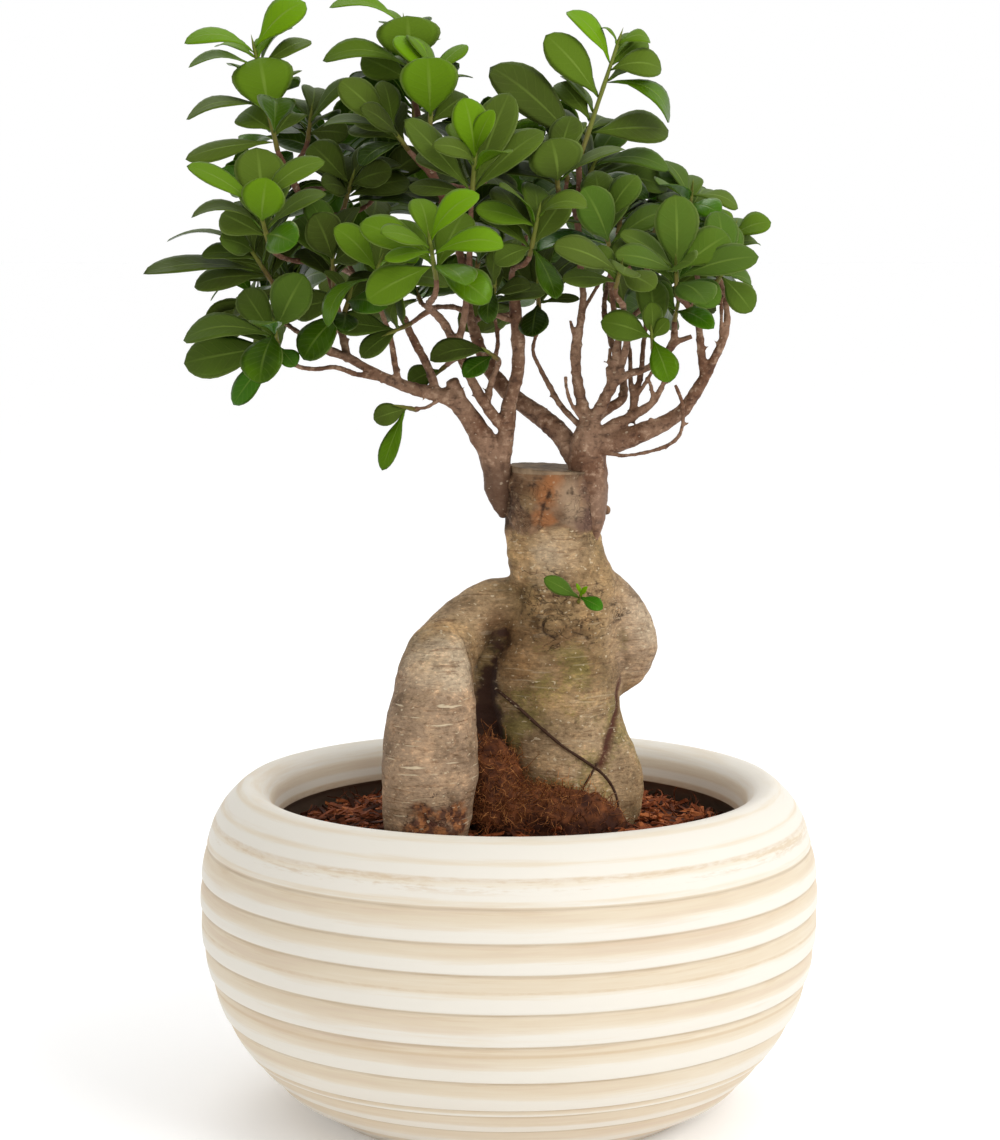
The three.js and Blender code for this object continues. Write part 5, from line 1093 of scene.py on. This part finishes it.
def rootstockPiece():
    look = rootstock
    bm = bmesh.new()
    for points in look["limbs"].values():
        addLimb(bm, points, look["limbSpacing"], look["limbSides"])
    skin = remeshed(bm, look["voxel"], look["smoothing"])
    hollowShade, torn, root = (skin.verts.layers.float.new(name) for name in ("hollowShade", "torn", "root"))
    skin.normal_update()
    tree = BVHTree.FromBMesh(skin)

    def onFront(x, z):               # the skin's nearest point to the viewer at x, z
        hit = tree.ray_cast(Vector((x * mm, -0.3, z * mm)), Vector((0, 1, 0)))[0]
        return hit or Vector((x * mm, 0, z * mm))

    lumps = [(onFront(x, z), reach * mm, rise * mm) for x, z, reach, rise in look["lumps"]]
    scars = [(onFront(x, z), reach * mm, rise * mm, shade) for x, z, reach, rise, shade in look["scars"]]
    creases = []
    for number, (path, reach, depth, shade) in enumerate(look["creases"]):
        curve = smoothCurve([(x, 0, z) for x, z in path])
        count = int(lengthOf(curve) / look["creaseStep"]) + 1
        for i in range(count + 1):
            at = curve(i / count)
            ends = min(1.0, 4 * min(i / count, 1 - i / count) + 0.25)
            worn = ends * (0.75 + 0.5 * noise.noise(Vector((number * 9.1, i * 0.35, 0))))
            creases.append((onFront(at.x, at.z), reach * mm, depth * worn * mm, shade * worn, number == 1))
    knotty = Vector((22, -20, 228)) * mm         # the bark is knotty round here and above the graft
    for corner in skin.verts:
        at, push, shade, tear = corner.co, 0.0, 0.0, 0.0
        scaled = at * 1000
        ragged = noise.noise(scaled * 0.45)
        for centre, reach, rise in lumps:
            away = (at - centre).length_squared / reach ** 2
            if away < 5:
                push += rise * math.exp(-away)
        for centre, reach, rise, dark in scars:      # a raised disc, a broken outline of painted shade in the groove round it, heavier on the lower left, and a rough ring
            away = (at - centre).length / reach + ragged * 0.12
            if away < 2.2:
                disc = 1 / (1 + math.exp((away - 0.92) * 14))
                push += rise * (0.5 * disc + 0.45 * math.exp(-((away - 1.42) * 4) ** 2))
                push -= rise * 0.9 * math.exp(-((away - 1.06) * 8) ** 2)
                side = (centre.x - at.x) + (centre.z - at.z)
                broken = 0.55 + 0.45 * math.tanh(side * 400) + ragged * 0.5
                shade = max(shade, dark * broken * math.exp(-((away - 1.05) * 7) ** 2))
        deepest = 0.0
        for centre, reach, depth, dark, gouged in creases:
            away = (at - centre).length_squared / reach ** 2
            if away < 6:
                deepest = max(deepest, depth * math.exp(-away))
                shade = max(shade, dark * math.exp(-away * 1.2))
                if gouged:
                    tear = max(tear, math.exp(-away * 0.22))
        push -= deepest
        push += noise.fractal(scaled * 0.05, 0.9, 2.1, 4) * 0.8 * mm
        lines = noise.noise(Vector((scaled.x * 0.05, scaled.y * 0.05, scaled.z * 0.36)))
        push += lines * 0.25 * mm
        folds = noise.noise(Vector((scaled.x * 0.02, scaled.y * 0.02 + 7, scaled.z * 0.15)))
        push += folds * 0.45 * mm
        knots = 1.0 if at.z > 0.2575 else max(0.0, 1 - ((at - knotty) * 42).length_squared)
        push += knots * noise.fractal(scaled * 0.16, 0.8, 2.2, 3) * 0.7 * mm
        # hollow carries the painted shade round the scars and in the creases
        corner[hollowShade] = max(shade, 0.0)
        corner[torn] = tear
        corner.co += corner.normal * push
    middle, top, slope = look["cut"]
    for corner in skin.verts:        # the sawn top
        limit = (top - (corner.co.x / mm - middle) * slope) * mm
        limit += 0.25 * mm * noise.noise(corner.co * 300)
        if corner.co.z > limit - 0.5 * mm and (corner.co.xy - Vector((0.0195, 0))).length < 0.0235:
            corner.co.z = min(corner.co.z, limit)
    for number, points in enumerate(look["threads"]):
        thread = bmesh.new()
        addLimb(thread, points, 2, 7, 0.35, 3 + number)
        layer = thread.verts.layers.float.new("root")
        for corner in thread.verts:
            corner[layer] = 1
        pour(skin, thread)
    finishPiece(skin, "gingerRootstock", [barkMaterial()], ["rootstock"])


rootstockPiece()


print("soil, mulch and fibre")

mulch = {
    "mound": [                       # radius and height of the mulch, from the middle out
        (0, 134), (30, 134), (46, 132.6), (56, 130.6), (66, 128.6), (78, 126.4), (88, 124.4), (97, 122.2),
        (104, 120.8), (109, 120.2),
    ],
    "underside": [(108, 116), (80, 119), (50, 124), (0, 124)],
    "shapes": 9,                     # different chips to repeat
    "chips": 1500,
    "chipLength": (4, 13),
    "chipWidth": (1.0, 3.2),
    "chipDepth": (0.7, 1.6),
    "shreds": 700,                   # thin curled strands of bark and coir
    "shredLength": (5, 13),
    "shredRadius": (0.22, 0.5),
    "reach": 106,
    "trunks": [(31, -2, 25), (-35, -53, 16)],    # no chips inside these: x, y and radius
    "darkest": (0.040, 0.011, 0.004, 1),
    "middle": (0.215, 0.054, 0.016, 1),
    "lightest": (0.500, 0.160, 0.050, 1),
    "seed": 11,
}


def moundHeight(radius):
    rows = mulch["mound"]
    for (r0, z0), (r1, z1) in zip(rows, rows[1:]):
        if radius <= r1:
            return z0 + (z1 - z0) * (radius - r0) / (r1 - r0)
    return rows[-1][1]


def chipMaterial(name, look):
    material, shader, place = painted(name, {"Specular IOR Level": 0.2})
    tone = attributeOf(place, "tone")
    fibre = grain(place, 420, (1, 1, 1), 4, 0.65)
    patch = grain(place, 110, (1, 1, 1), 2)
    shade = (tone + (fibre - 0.5) * 0.5 + (patch - 0.5) * 0.5).rise(0.0, 0.6)
    colour = mixed(shade, look["darkest"], look["middle"])
    colour = mixed((tone + (fibre - 0.5) * 0.9).rise(0.62, 1.15), colour, look["lightest"])
    feed(shader, {
        "Base Color": colour,
        "Roughness": 0.72 + fibre * 0.2,
        "Normal": bumped(fibre, 0.8, 0.6),
    })
    return material


def chipShapes(count, rng):          # a few split, bent and tapered chips to repeat
    shapes = []
    for _ in range(count):
        chip = bmesh.new()
        bmesh.ops.create_cube(chip, size=1)
        long = [edge for edge in chip.edges if abs(edge.verts[0].co.x - edge.verts[1].co.x) > 0.5]
        bmesh.ops.subdivide_edges(chip, edges=long, cuts=2, use_grid_fill=True)
        bend, taper, twist = rng.uniform(-0.5, 0.5), rng.uniform(0.2, 0.75), rng.uniform(-0.8, 0.8)
        for corner in chip.verts:
            x = corner.co.x
            width = 1 - taper * (x + 0.5) if rng.random() < 0.8 else 0.8
            turn = Matrix.Rotation(twist * x, 3, "X")
            corner.co = turn @ Vector((x, corner.co.y * width, corner.co.z * (0.6 + 0.4 * width)))
            corner.co.z += bend * (x * x) * 1.6
            corner.co += Vector([rng.uniform(-0.07, 0.07) for _ in range(3)])
        bmesh.ops.recalc_face_normals(chip, faces=chip.faces)
        chip.verts.layers.float.new("tone")
        mesh = bpy.data.meshes.new("chip")
        chip.to_mesh(mesh)
        chip.free()
        shapes.append(mesh)
    return shapes


def strew(bm, shapes, count, rng, placeOf, lengths, widths, depths):
    for _ in range(count):
        shape = shapes[rng.randrange(len(shapes))]
        size = Vector((rng.uniform(*lengths), rng.uniform(*widths), rng.uniform(*depths))) * mm
        at, tilt = placeOf(rng)
        turn = Matrix.Rotation(rng.uniform(0, math.tau), 4, "Z") @ Matrix.Rotation(rng.gauss(0, tilt), 4, "Y")
        turn = turn @ Matrix.Rotation(rng.gauss(0, tilt * 1.3), 4, "X")
        spread = Matrix.Translation(at * mm) @ turn @ Matrix.Diagonal((*size, 1))
        values = [rng.random()] * len(shape.vertices)
        shape.attributes["tone"].data.foreach_set("value", values)
        shape.transform(spread)
        bm.from_mesh(shape)
        shape.transform(spread.inverted())


def addStrand(bm, rng, start, heading, length, radius, sides=3, curl=0.35):
    # a thin wandering fibre
    steps = 5
    places = [start]
    way = heading.normalized()
    for _ in range(steps):
        way = (way + Vector([rng.gauss(0, curl) for _ in range(3)])).normalized()
        places.append(places[-1] + way * (length / steps))
    addTube(bm, smoothCurve(places), lambda t: radius * (1 - 0.6 * t), steps, sides)


def mulchPiece():
    rng = random.Random(mulch["seed"])
    profile = [(r, z - 1.2, {"tone": 0.1}) for r, z in mulch["mound"]]
    profile += [(r, z, {"tone": 0.1}) for r, z in mulch["underside"]]
    bm = spunShape(profile, 72, ("tone",))
    bmesh.ops.subdivide_edges(bm, edges=[edge for edge in bm.edges if edge.calc_length() > 0.006], cuts=1,
                              use_grid_fill=True)
    for corner in bm.verts:
        if corner.normal.z > 0:
            corner.co.z += noise.noise(corner.co * 160) * 1.3 * mm

    def onMound(rng):
        while True:
            radius = mulch["reach"] * math.sqrt(rng.random())
            turn = rng.uniform(0, math.tau)
            x, y = radius * math.cos(turn), radius * math.sin(turn)
            inTrunk = any(math.hypot(x - px, y - py) < reach for px, py, reach in mulch["trunks"])
            if not inTrunk and radius < mulch["reach"] - 2:
                break
        heap = 1.1 * noise.noise(Vector((x * 0.05, y * 0.05, 2)))
        return Vector((x, y, moundHeight(radius) + heap + rng.uniform(-1.0, 1.4))), 0.28

    shapes = chipShapes(mulch["shapes"], rng)
    strew(bm, shapes, mulch["chips"], rng, onMound, mulch["chipLength"], mulch["chipWidth"], mulch["chipDepth"])
    for shape in shapes:
        bpy.data.meshes.remove(shape)
    shreds = bmesh.new()
    shreds.verts.layers.float.new("tone")
    for _ in range(mulch["shreds"]):
        at = onMound(rng)[0]
        turn = rng.uniform(0, math.tau)
        heading = Vector((math.cos(turn), math.sin(turn), rng.uniform(-0.1, 0.35)))
        length, thick = rng.uniform(*mulch["shredLength"]), rng.uniform(*mulch["shredRadius"])
        addStrand(shreds, rng, at, heading, length, thick)
    layer = shreds.verts.layers.float["tone"]
    for corner in shreds.verts:
        corner[layer] = 0.5 + 0.5 * noise.noise(corner.co * 90)
    pour(bm, shreds)
    chipBark = chipMaterial("bark chips", mulch)
    finishPiece(bm, "barkMulch", [chipBark], ["bark_mulch"], smooth=False)


mulchPiece()

fibre = {
    "lumps": [                       # centre and radii of the matted root mass
        ((-8, -22, 142), (16, 20, 28)), ((16, -31, 132), (36, 17, 18)), ((-4, -36, 138), (14, 14, 16)),
    ],
    "strands": 2600,
    "length": (4, 13),
    "radius": (0.12, 0.26),
    "darkerBelow": 139,                      # below this height the fibre is coloured darker
    "darkest": (0.046, 0.014, 0.007, 1),
    "middle": (0.250, 0.080, 0.024, 1),
    "lightest": (0.680, 0.290, 0.095, 1),
    "seed": 5,
}


def fibrePiece():
    rng = random.Random(fibre["seed"])
    bm = bmesh.new()
    for centre, radii in fibre["lumps"]:
        addBall(bm, centre, radii)
    skin = remeshed(bm, 1.6, 3)
    tone = skin.verts.layers.float.new("tone")
    skin.normal_update()
    for corner in skin.verts:
        scaled = corner.co * 1000
        corner.co += corner.normal * (noise.fractal(scaled * 0.14, 0.8, 2.2, 4) * 2.4 - 0.6) * mm
        # darker below the set height
        lowDarkening = min(max((fibre["darkerBelow"] - corner.co.z / mm) / 5 + noise.noise(scaled * 0.1), 0), 1)
        corner[tone] = 0.2 * (1 - lowDarkening) + 0.04 + 0.2 * noise.noise(scaled * 0.35)
    skin.normal_update()
    tree = BVHTree.FromBMesh(skin)
    strands = bmesh.new()
    strandTone = strands.verts.layers.float.new("tone")
    made = 0
    while made < fibre["strands"]:
        centre, radii = fibre["lumps"][made % len(fibre["lumps"])]
        way = Vector([rng.gauss(0, 1) for _ in range(3)]).normalized()
        if way.z < -0.2 or way.y > 0.5:
            continue
        hit, normal, _, _ = tree.ray_cast(Vector(centre) * mm + way * 0.06, -way)
        if hit is None:
            continue
        start = hit / mm - normal * 0.8
        heading = normal * rng.uniform(0.0, 0.35) + Vector([rng.gauss(0, 0.8) for _ in range(3)])
        before = len(strands.verts)
        addStrand(strands, rng, start, heading, rng.uniform(*fibre["length"]), rng.uniform(*fibre["radius"]),
                  curl=0.65)
        strands.verts.ensure_lookup_table()
        lowDarkening = min(max((fibre["darkerBelow"] - hit.z / mm) / 5, 0), 1)
        shade = rng.uniform(0.35, 1.1) * (1 - 0.65 * lowDarkening)
        for i in range(before, len(strands.verts)):
            strands.verts[i][strandTone] = shade
        made += 1
    pour(skin, strands)
    mattedFibre = chipMaterial("matted root fibre", fibre)
    finishPiece(skin, "rootFibre", [mattedFibre], ["root_fibre_mass"])


fibrePiece()

soilMaterial, soilShader, soilPlace = painted("damp potting soil", {})
crumbs = grain(soilPlace, 240, (1, 1, 1), 5, 0.65)
feed(soilShader, {
    "Base Color": mixed(crumbs.rise(0.3, 0.75), (0.012, 0.008, 0.006, 1), (0.075, 0.045, 0.028, 1)),
    "Roughness": 0.85 + crumbs * 0.1,
    "Normal": bumped(crumbs, 1.0, 1.5),
})
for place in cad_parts["growing_medium"].material_slots:
    place.material = soilMaterial


twigs = {
    "voxel": 0.6,
    "fuller": 0.05,                  # smoothing takes this much off a thin twig again
    "slim": {"left": 0.78, "right": 0.5},        # the thinnest branches keep this share of their solids' radius
    "full": 4.0,                     # from this radius on they keep all of it
    "least": 0.85,
    "nodes": 0.16,                   # how far the rings where leaves grew stand out
    "spurs": 9,                      # a dead stub about every so many millimetres
    "stem": 1.15,                    # radius of the twigs that carry the shoots
    "roughness": 0.16,
    "brown": (0.140, 0.064, 0.033, 1),
    "greyBrown": (0.260, 0.150, 0.092, 1),
    "pale": (0.520, 0.350, 0.235, 1),
    "dark": (0.040, 0.017, 0.010, 1),
    "young": (0.160, 0.064, 0.036, 1),
    "smooth": (0.105, 0.055, 0.032, 1),
    "purple": (0.200, 0.125, 0.086, 1),
    "fleck": (0.520, 0.400, 0.280, 1),
}


def twigMaterial():
    look = twigs
    material, shader, place = painted("twig bark", {"Specular IOR Level": 0.2})
    broad = grain(place, 55, (1, 1, 1), 3)
    middle = grain(place, 280, (1, 1, 1), 4, 0.65)
    fine = grain(place, 800, (1, 1, 1), 3, 0.6)
    rings = grain(place, 210, (0.7, 0.7, 3), 2, 0.5)
    height = heightOf(place)
    colour = mixed(broad.rise(0.35, 0.65), look["brown"], look["greyBrown"])
    young = (height + (broad - 0.5) * 0.03).rise(0.335, 0.40)
    wobble = (middle - 0.5) * 0.01
    scars = grain(place, 430, (1, 1, 1.5), 1).rise(0.69, 0.75)
    colour = layered(colour, look, [
        (middle.rise(0.50, 0.70) * 0.55, "pale"), (middle.rise(0.49, 0.32) * 0.65, "dark"),
        (young * 0.5, "young"), (rings.rise(0.60, 0.68) * 0.45, "dark"),
        (spot(place, (-5, -3, 274), 15, 0.4, wobble) * 0.8, "smooth"),
        (spot(place, (42, 1, 272), 13, 0.4, wobble) * 0.8, "purple"), (scars * 0.55, "fleck"),
    ])
    relief = middle * 0.6 + fine * 0.3 + rings * 0.5 + scars * 0.2
    feed(shader, {
        "Base Color": colour,
        "Roughness": 0.6 + middle * 0.2,
        "Normal": bumped(relief, 0.8, 0.8),
    })
    return material


def ringed(curve, radius, seed):     # the radius along a branch, with swellings where leaves once grew
    length = lengthOf(curve)

    def radiusAt(t):
        along = t * length
        lump = noise.noise(Vector((seed * 7.3, along / 3, 0.5)))
        place = along / 5.5 + 1.4 * noise.noise(Vector((seed * 3.1, along / 14, 2.5)))
        ring = math.exp(-((place % 1 - 0.5) * 7) ** 2)
        thick = radius(t)
        return thick * (1 + (0.12 * lump + twigs["nodes"] * ring) * min(2.5 / thick, 1))

    return radiusAt


def addSpurs(bm, curve, radius, rng):
    for _ in range(int(lengthOf(curve) / twigs["spurs"])):
        t = rng.uniform(0.1, 0.95)
        heading = headingOf(curve, t)
        across = Vector([rng.gauss(0, 1) for _ in range(3)]).cross(heading).normalized()
        way = (across + heading * 0.6).normalized()
        start, size = curve(t), rng.uniform(0.5, 0.8)
        end = start + way * (radius(t) + rng.uniform(0.8, 2.6))
        addTube(bm, straightCurve(start, end), lambda t: size * (1 - 0.25 * t), 3, 6)


def scionPiece(side, name, material):
    rng = random.Random(name)
    bm = bmesh.new()
    for i, points in enumerate(scions[side].values()):
        curve, radii = smoothCurve(points), [row[3] for row in points]
        slim = twigs["slim"][side]
        thin = [max(r * (slim + (1 - slim) * min(r / twigs["full"], 1)), min(r, twigs["least"])) for r in radii]
        thin = [r + twigs["fuller"] for r in thin]

        def radius(t, thin=thin):
            return between(thin, t)

        steps = max(3, math.ceil(lengthOf(curve) / 1.6))
        addTube(bm, curve, ringed(curve, radius, i + (0 if side == "left" else 40)), steps, 10)
        if i:
            addSpurs(bm, curve, radius, rng)
    for i, shoot in enumerate(shootList):
        if shoot["side"] == side:
            steps = max(4, math.ceil(lengthOf(shoot["twig"]) / 1.8))
            stem = ringed(shoot["twig"], lambda t: twigs["stem"] + 0.3 * (1 - t), i * 3.1)
            addTube(bm, shoot["twig"], stem, steps, 7)
    skin = remeshed(bm, twigs["voxel"], 3, 0.45)
    skin.normal_update()
    for corner in skin.verts:
        scaled = corner.co * 1000
        corner.co += corner.normal * noise.fractal(scaled * 0.32, 0.9, 2.0, 3) * twigs["roughness"] * mm
    finishPiece(skin, name, [material], [f"{side}_scion"])


print("branches")
twigBark = twigMaterial()
scionPiece("left", "leftBranches", twigBark)
scionPiece("right", "rightBranches", twigBark)


print("leaves")

leafLook = {
    "round": 8,                      # faces round a blade and along it
    "along": 11,
    "fold": (0.10, 0.34),            # how far the two halves fold up from the midrib
    "recurve": (0.04, 0.24),
    "wave": 0.3,
    "droop": (0.0, 2.4),             # how far the tip curls down
    "roll": (14, 5),                 # how far a grown and a placed leaf roll on their midribs, in degrees
    "slimmer": 0.12,
    "flatter": 0.85,                 # the blades arch a little less than their solids
    "thickness": 0.24,
    "petiole": 0.7,
    "heart": ((-20, 5, 400), (120, 85, 90)),     # the crown's shady middle and how far it reaches
    # the colour of the painted shade on leaves deep in the crown
    "deep": (0.012, 0.023, 0.002, 1),
    "mature": (0.036, 0.087, 0.001, 1),
    "cool": (0.042, 0.200, 0.006, 1),
    "fresh": (0.072, 0.152, 0.001, 1),
    "bright": (0.140, 0.285, 0.002, 1),
    "under": (0.085, 0.095, 0.022, 1),
    "vein": (0.200, 0.280, 0.050, 1),
    "margin": (0.230, 0.300, 0.080, 1),
    "stemWood": (0.150, 0.088, 0.034, 1),
    "stemGreen": (0.150, 0.170, 0.030, 1),
    "bud": 7.0,                      # how far the bud stands past the stem's end
    "sunk": 1.5,                     # how far the stem reaches into its twig
    "shade": 0.6,                    # the light on the extra leaves
}


def leafMaterial():
    look = leafLook
    plain = {"Coat Roughness": 0.15, "Specular IOR Level": 0.33, "Specular Tint": (0.45, 0.90, 0.08, 1)}
    material, shader, place = painted("leaf and green stem", plain)
    data = attributeOf(place, "leafData", "Color")
    tone, fresh, cool = (data.node("ShaderNodeSeparateColor", {}, {0: data}, i) for i in range(3))
    kind = attributeOf(place, "leafData", "Alpha")       # 0 on the upper side, 0.5 underneath, 1 on the stem
    under = kind.rise(0.2, 0.3) * kind.rise(0.8, 0.7)
    stem = kind.rise(0.7, 0.8)
    blade = place.node("ShaderNodeUVMap", {"uv_map": "blade"})
    across = blade.node("ShaderNodeSeparateXYZ", {}, {0: blade}, 0)
    along = blade.node("ShaderNodeSeparateXYZ", {}, {0: blade}, 1)
    fromRib = abs(across - 0.5)
    cloudy = grain(place, 75, (1, 1, 1), 3)
    fine = grain(place, 420, (1, 1, 1), 3)
    rib = fromRib.rise(0.012, 0.045, 1.0, 0.0) * along.rise(0.95, 0.5, 0.25, 1.0)
    sideVein = place.maths("SINE", along * 62.0 - fromRib * 26.0).rise(0.8, 1.0) * fromRib.rise(0.02, 0.06)
    # tone holds painted shade, with some random spread: low tone paints a leaf the dark deep colour; fresh is
    # painted stronger on lit leaves
    colour = mixed((tone + (cloudy - 0.5) * 0.9).rise(0.05, 0.95), look["deep"], look["mature"])
    colour = layered(colour, look, [
        (cool * tone.rise(0.2, 0.7), "cool"), ((fresh + (cloudy - 0.5) * 0.5).rise(0.12, 0.7), "fresh"),
        (fresh.rise(0.7, 1.05), "bright"), (sideVein * 0.08, "vein"),
    ])
    underColour = mixed(fresh.rise(0.4, 1.0), look["under"], look["bright"])
    colour = mixed(under * (0.35 + tone * 0.35), colour, underColour)
    colour = layered(colour, look, [
        (rib * (0.22 + tone * 0.3), "vein"), (fromRib.rise(0.44, 0.49) * (0.4 + tone * 0.25), "margin"),
    ])
    stemColour = mixed((along + (cloudy - 0.5) * 0.4).rise(0.0, 0.7), look["stemWood"], look["stemGreen"])
    colour = mixed(stem, colour, stemColour)
    relief = cloudy * 0.3 + fine * 0.12 - sideVein * 0.3 - rib * 1.0
    feed(shader, {
        "Base Color": colour,
        "Roughness": 0.29 + fine * 0.10 + under * 0.29 + stem * 0.15,
        "Coat Weight": 0.09 - under * 0.09,
        "Normal": bumped(relief, 0.5, 0.35),
    })
    return material


def addBlade(bm, leaf, rng, colours):
    look = leafLook
    blade = bmesh.new()
    bmesh.ops.create_uvsphere(blade, u_segments=look["round"], v_segments=look["along"], radius=1)
    fold, recurve = rng.uniform(*look["fold"]), rng.uniform(*look["recurve"])
    phase, droop = rng.uniform(0, math.tau), rng.uniform(*look["droop"])
    uv = blade.loops.layers.uv.new("blade")
    data = blade.loops.layers.float_color.new("leafData")
    leaf = {**leaf, "arch": leaf["arch"] * look["flatter"]}
    spread = {}
    for corner in blade.verts:
        t = math.acos(max(-1.0, min(1.0, corner.co.z))) / math.pi
        t = 1 - (1 - t) ** 1.3           # the rings stand closer towards the rounded tip
        ring = math.hypot(corner.co.x, corner.co.y)
        across = corner.co.x / ring if ring > 1e-4 else 0.0
        side = corner.co.y / ring if ring > 1e-4 else 0.0
        at, tangent, up = leafFrame(leaf, t)
        half = bladeHalfWidth(t, leaf["width"])
        if t > 0.5:                      # the tip is blunter than its solid's
            half = leaf["width"] / 2 * max(math.sin(math.pi * ((t - 0.12) / 0.88) ** 1.5), 0.0) ** 0.6
        stalk = 1 - min(max((t - 0.10) / 0.12, 0), 1)
        thick = look["thickness"] + (look["petiole"] - look["thickness"]) * stalk
        lift = (fold * abs(across) - recurve * across * across) * half * (1 - stalk)
        lift += look["wave"] * across * across * math.sin(phase + t * 9) * (1 - stalk)
        lift -= droop * max(t - 0.55, 0) ** 2 / 0.2
        if side > 0.9 and stalk < 0.5:
            thick = 0.1
        offset = tangent.cross(up) * (across * half) + up * (lift + side * thick)
        spread[corner] = (across * 0.5 + 0.5, t)
        corner.co = (at + offset) * mm
    for face in blade.faces:
        for loop in face.loops:
            loop[uv].uv = spread[loop.vert]
    bmesh.ops.recalc_face_normals(blade, faces=blade.faces)
    for face in blade.faces:
        t = sum(spread[loop.vert][1] for loop in face.loops) / len(face.loops)
        below = 0.5 if face.normal.dot(leafFrame(leaf, t)[2]) < 0 else 0.0
        for loop in face.loops:
            loop[data] = (*colours, below)
    pour(bm, blade)


def addStem(bm, curve, radiusAt, steps, sides, fresh):
    stem = bmesh.new()
    addTube(stem, curve, radiusAt, steps, sides)
    uv = stem.loops.layers.uv.new("blade")
    data = stem.loops.layers.float_color.new("leafData")
    start, end = curve(0) * mm, curve(1) * mm
    line = end - start
    for face in stem.faces:
        for loop in face.loops:
            share = (loop.vert.co - start).dot(line) / line.length_squared
            loop[uv].uv = (0.25, share * 0.6 + fresh * 0.4)
            loop[data] = (0.5, fresh, 0, 1)
    pour(bm, stem)


def newLeafy():
    bm = bmesh.new()
    bm.loops.layers.uv.new("blade")
    bm.loops.layers.float_color.new("leafData")
    return bm


def exposure(leaf):                  # from 0 in the crown's shady middle to 1 on its outside and top
    centre, reach = leafLook["heart"]
    at = leaf["base"] + leaf["axis"] * 0.6
    away = Vector([(place - middle) / size for place, middle, size in zip(at, centre, reach)]).length
    return min(max((away - 0.5) / 0.4, 0), 1) * (0.5 + 0.5 * min(max((at.z - 330) / 60, 0), 1))


def shootPiece(shoot, material):
    look, rng = leafLook, random.Random(shoot["name"])
    bm = newLeafy()
    fresh, cool = freshnessAndShade.get(shoot["name"], 0.1), coolness.get(shoot["name"], 0.0)
    stemward = shoot["stem"].normalized()
    start = shoot["base"] - stemward * look["sunk"]
    tip = shoot["apex"] + stemward * look["bud"]
    share = (shoot["apex"] - start).length / (tip - start).length

    def radiusAt(t):
        if t < share:
            return (1.2 - 0.35 * t / share) * (1 + 0.1 * math.sin(t * 37))
        ahead = (t - share) / (1 - share)
        return 0.95 * math.sqrt(max(1 - ahead, 0.004)) * (1 - 0.35 * ahead)

    addStem(bm, straightCurve(start, tip), radiusAt, 9, 7, fresh)
    for leaf in shoot["leaves"]:
        lit = exposure(leaf)
        grown = "extra" in leaf
        if leaf.get("extra"):
            lit *= look["shade"]
        roll = math.radians(rng.gauss(0, look["roll"][0 if grown else 1]))
        width = leaf["width"] * (1 - look["slimmer"] * rng.random() * grown)
        leaf = {**leaf, "up": Matrix.Rotation(roll, 3, leaf["axis"]) @ leaf["up"], "width": width}
        # painted shade: leaves in the crown's shady middle, low down or on shoots of low freshness get a darker
        # tone; their freshness is painted weaker in the shade
        tone = min(max(0.1 + 0.8 * lit * (0.6 + 0.4 * min(fresh / 0.3, 1)) + rng.gauss(0, 0.12), 0), 1)
        own = min(max((fresh + (leaf["onStem"] - 0.5) * 0.35) * (0.4 + 0.6 * lit) + rng.gauss(0, 0.1), 0), 1)
        addBlade(bm, leaf, rng, (tone, own, min(max(cool + rng.gauss(0.05, 0.15), 0), 1)))
    return finishPiece(bm, shoot["name"] + "Leaves", [material], [shoot["name"] + "_shoot"])


leafGloss = leafMaterial()
for shoot in shootList:
    shootPiece(shoot, leafGloss)

trunkSprig = {
    "base": (30, -19.5, 228), "apex": (31, -30, 233),
    "leaves": [
        [0.6, 15.5, -36, 241, 7.5, 1, 15], [0.7, 40, -34, 228, 6.5, 1, 20], [0.9, 33, -35, 237, 2.5, 0.5, 30],
        [0.9, 29, -34, 238.5, 2.0, 0.4, 40],
    ],
}
bm = newLeafy()
sprigBase, sprigApex = Vector(trunkSprig["base"]), Vector(trunkSprig["apex"])
addStem(bm, straightCurve(sprigBase, sprigApex), lambda t: 1.0 - 0.45 * t, 5, 7, 0.6)
sprigRng = random.Random(3)
for onStem, x, y, z, width, arch, face in trunkSprig["leaves"]:
    root, tip = sprigBase.lerp(sprigApex, onStem), Vector((x, y, z))
    sprigLeaf = makeLeaf(root, tip, facing(root, tip, face), width, arch, onStem)
    # tone, freshness and coolness as on the shoots; tone is painted shade
    addBlade(bm, sprigLeaf, sprigRng, (0.55, 0.1, 0.75) if width > 5 else (0.8, 1, 0))
finishPiece(bm, "trunkSprig", [leafGloss], ["trunk_shoot"])

print("finish")
floor = bmesh.new()
bmesh.ops.create_grid(floor, x_segments=8, y_segments=8, size=studio["floorSize"] / 2)
floorMesh = bpy.data.meshes.new("floor")
floor.to_mesh(floorMesh)
floor.free()
floorPiece = bpy.data.objects.new("floor", floorMesh)
bpy.context.scene.collection.objects.link(floorPiece)
floorMesh.materials.append(painted("pale floor", {
    "Roughness": 0.9, "Base Color": studio["floorColour"], "Emission Color": (1, 1, 1, 1),
    "Emission Strength": studio["floorGlow"],
})[0])
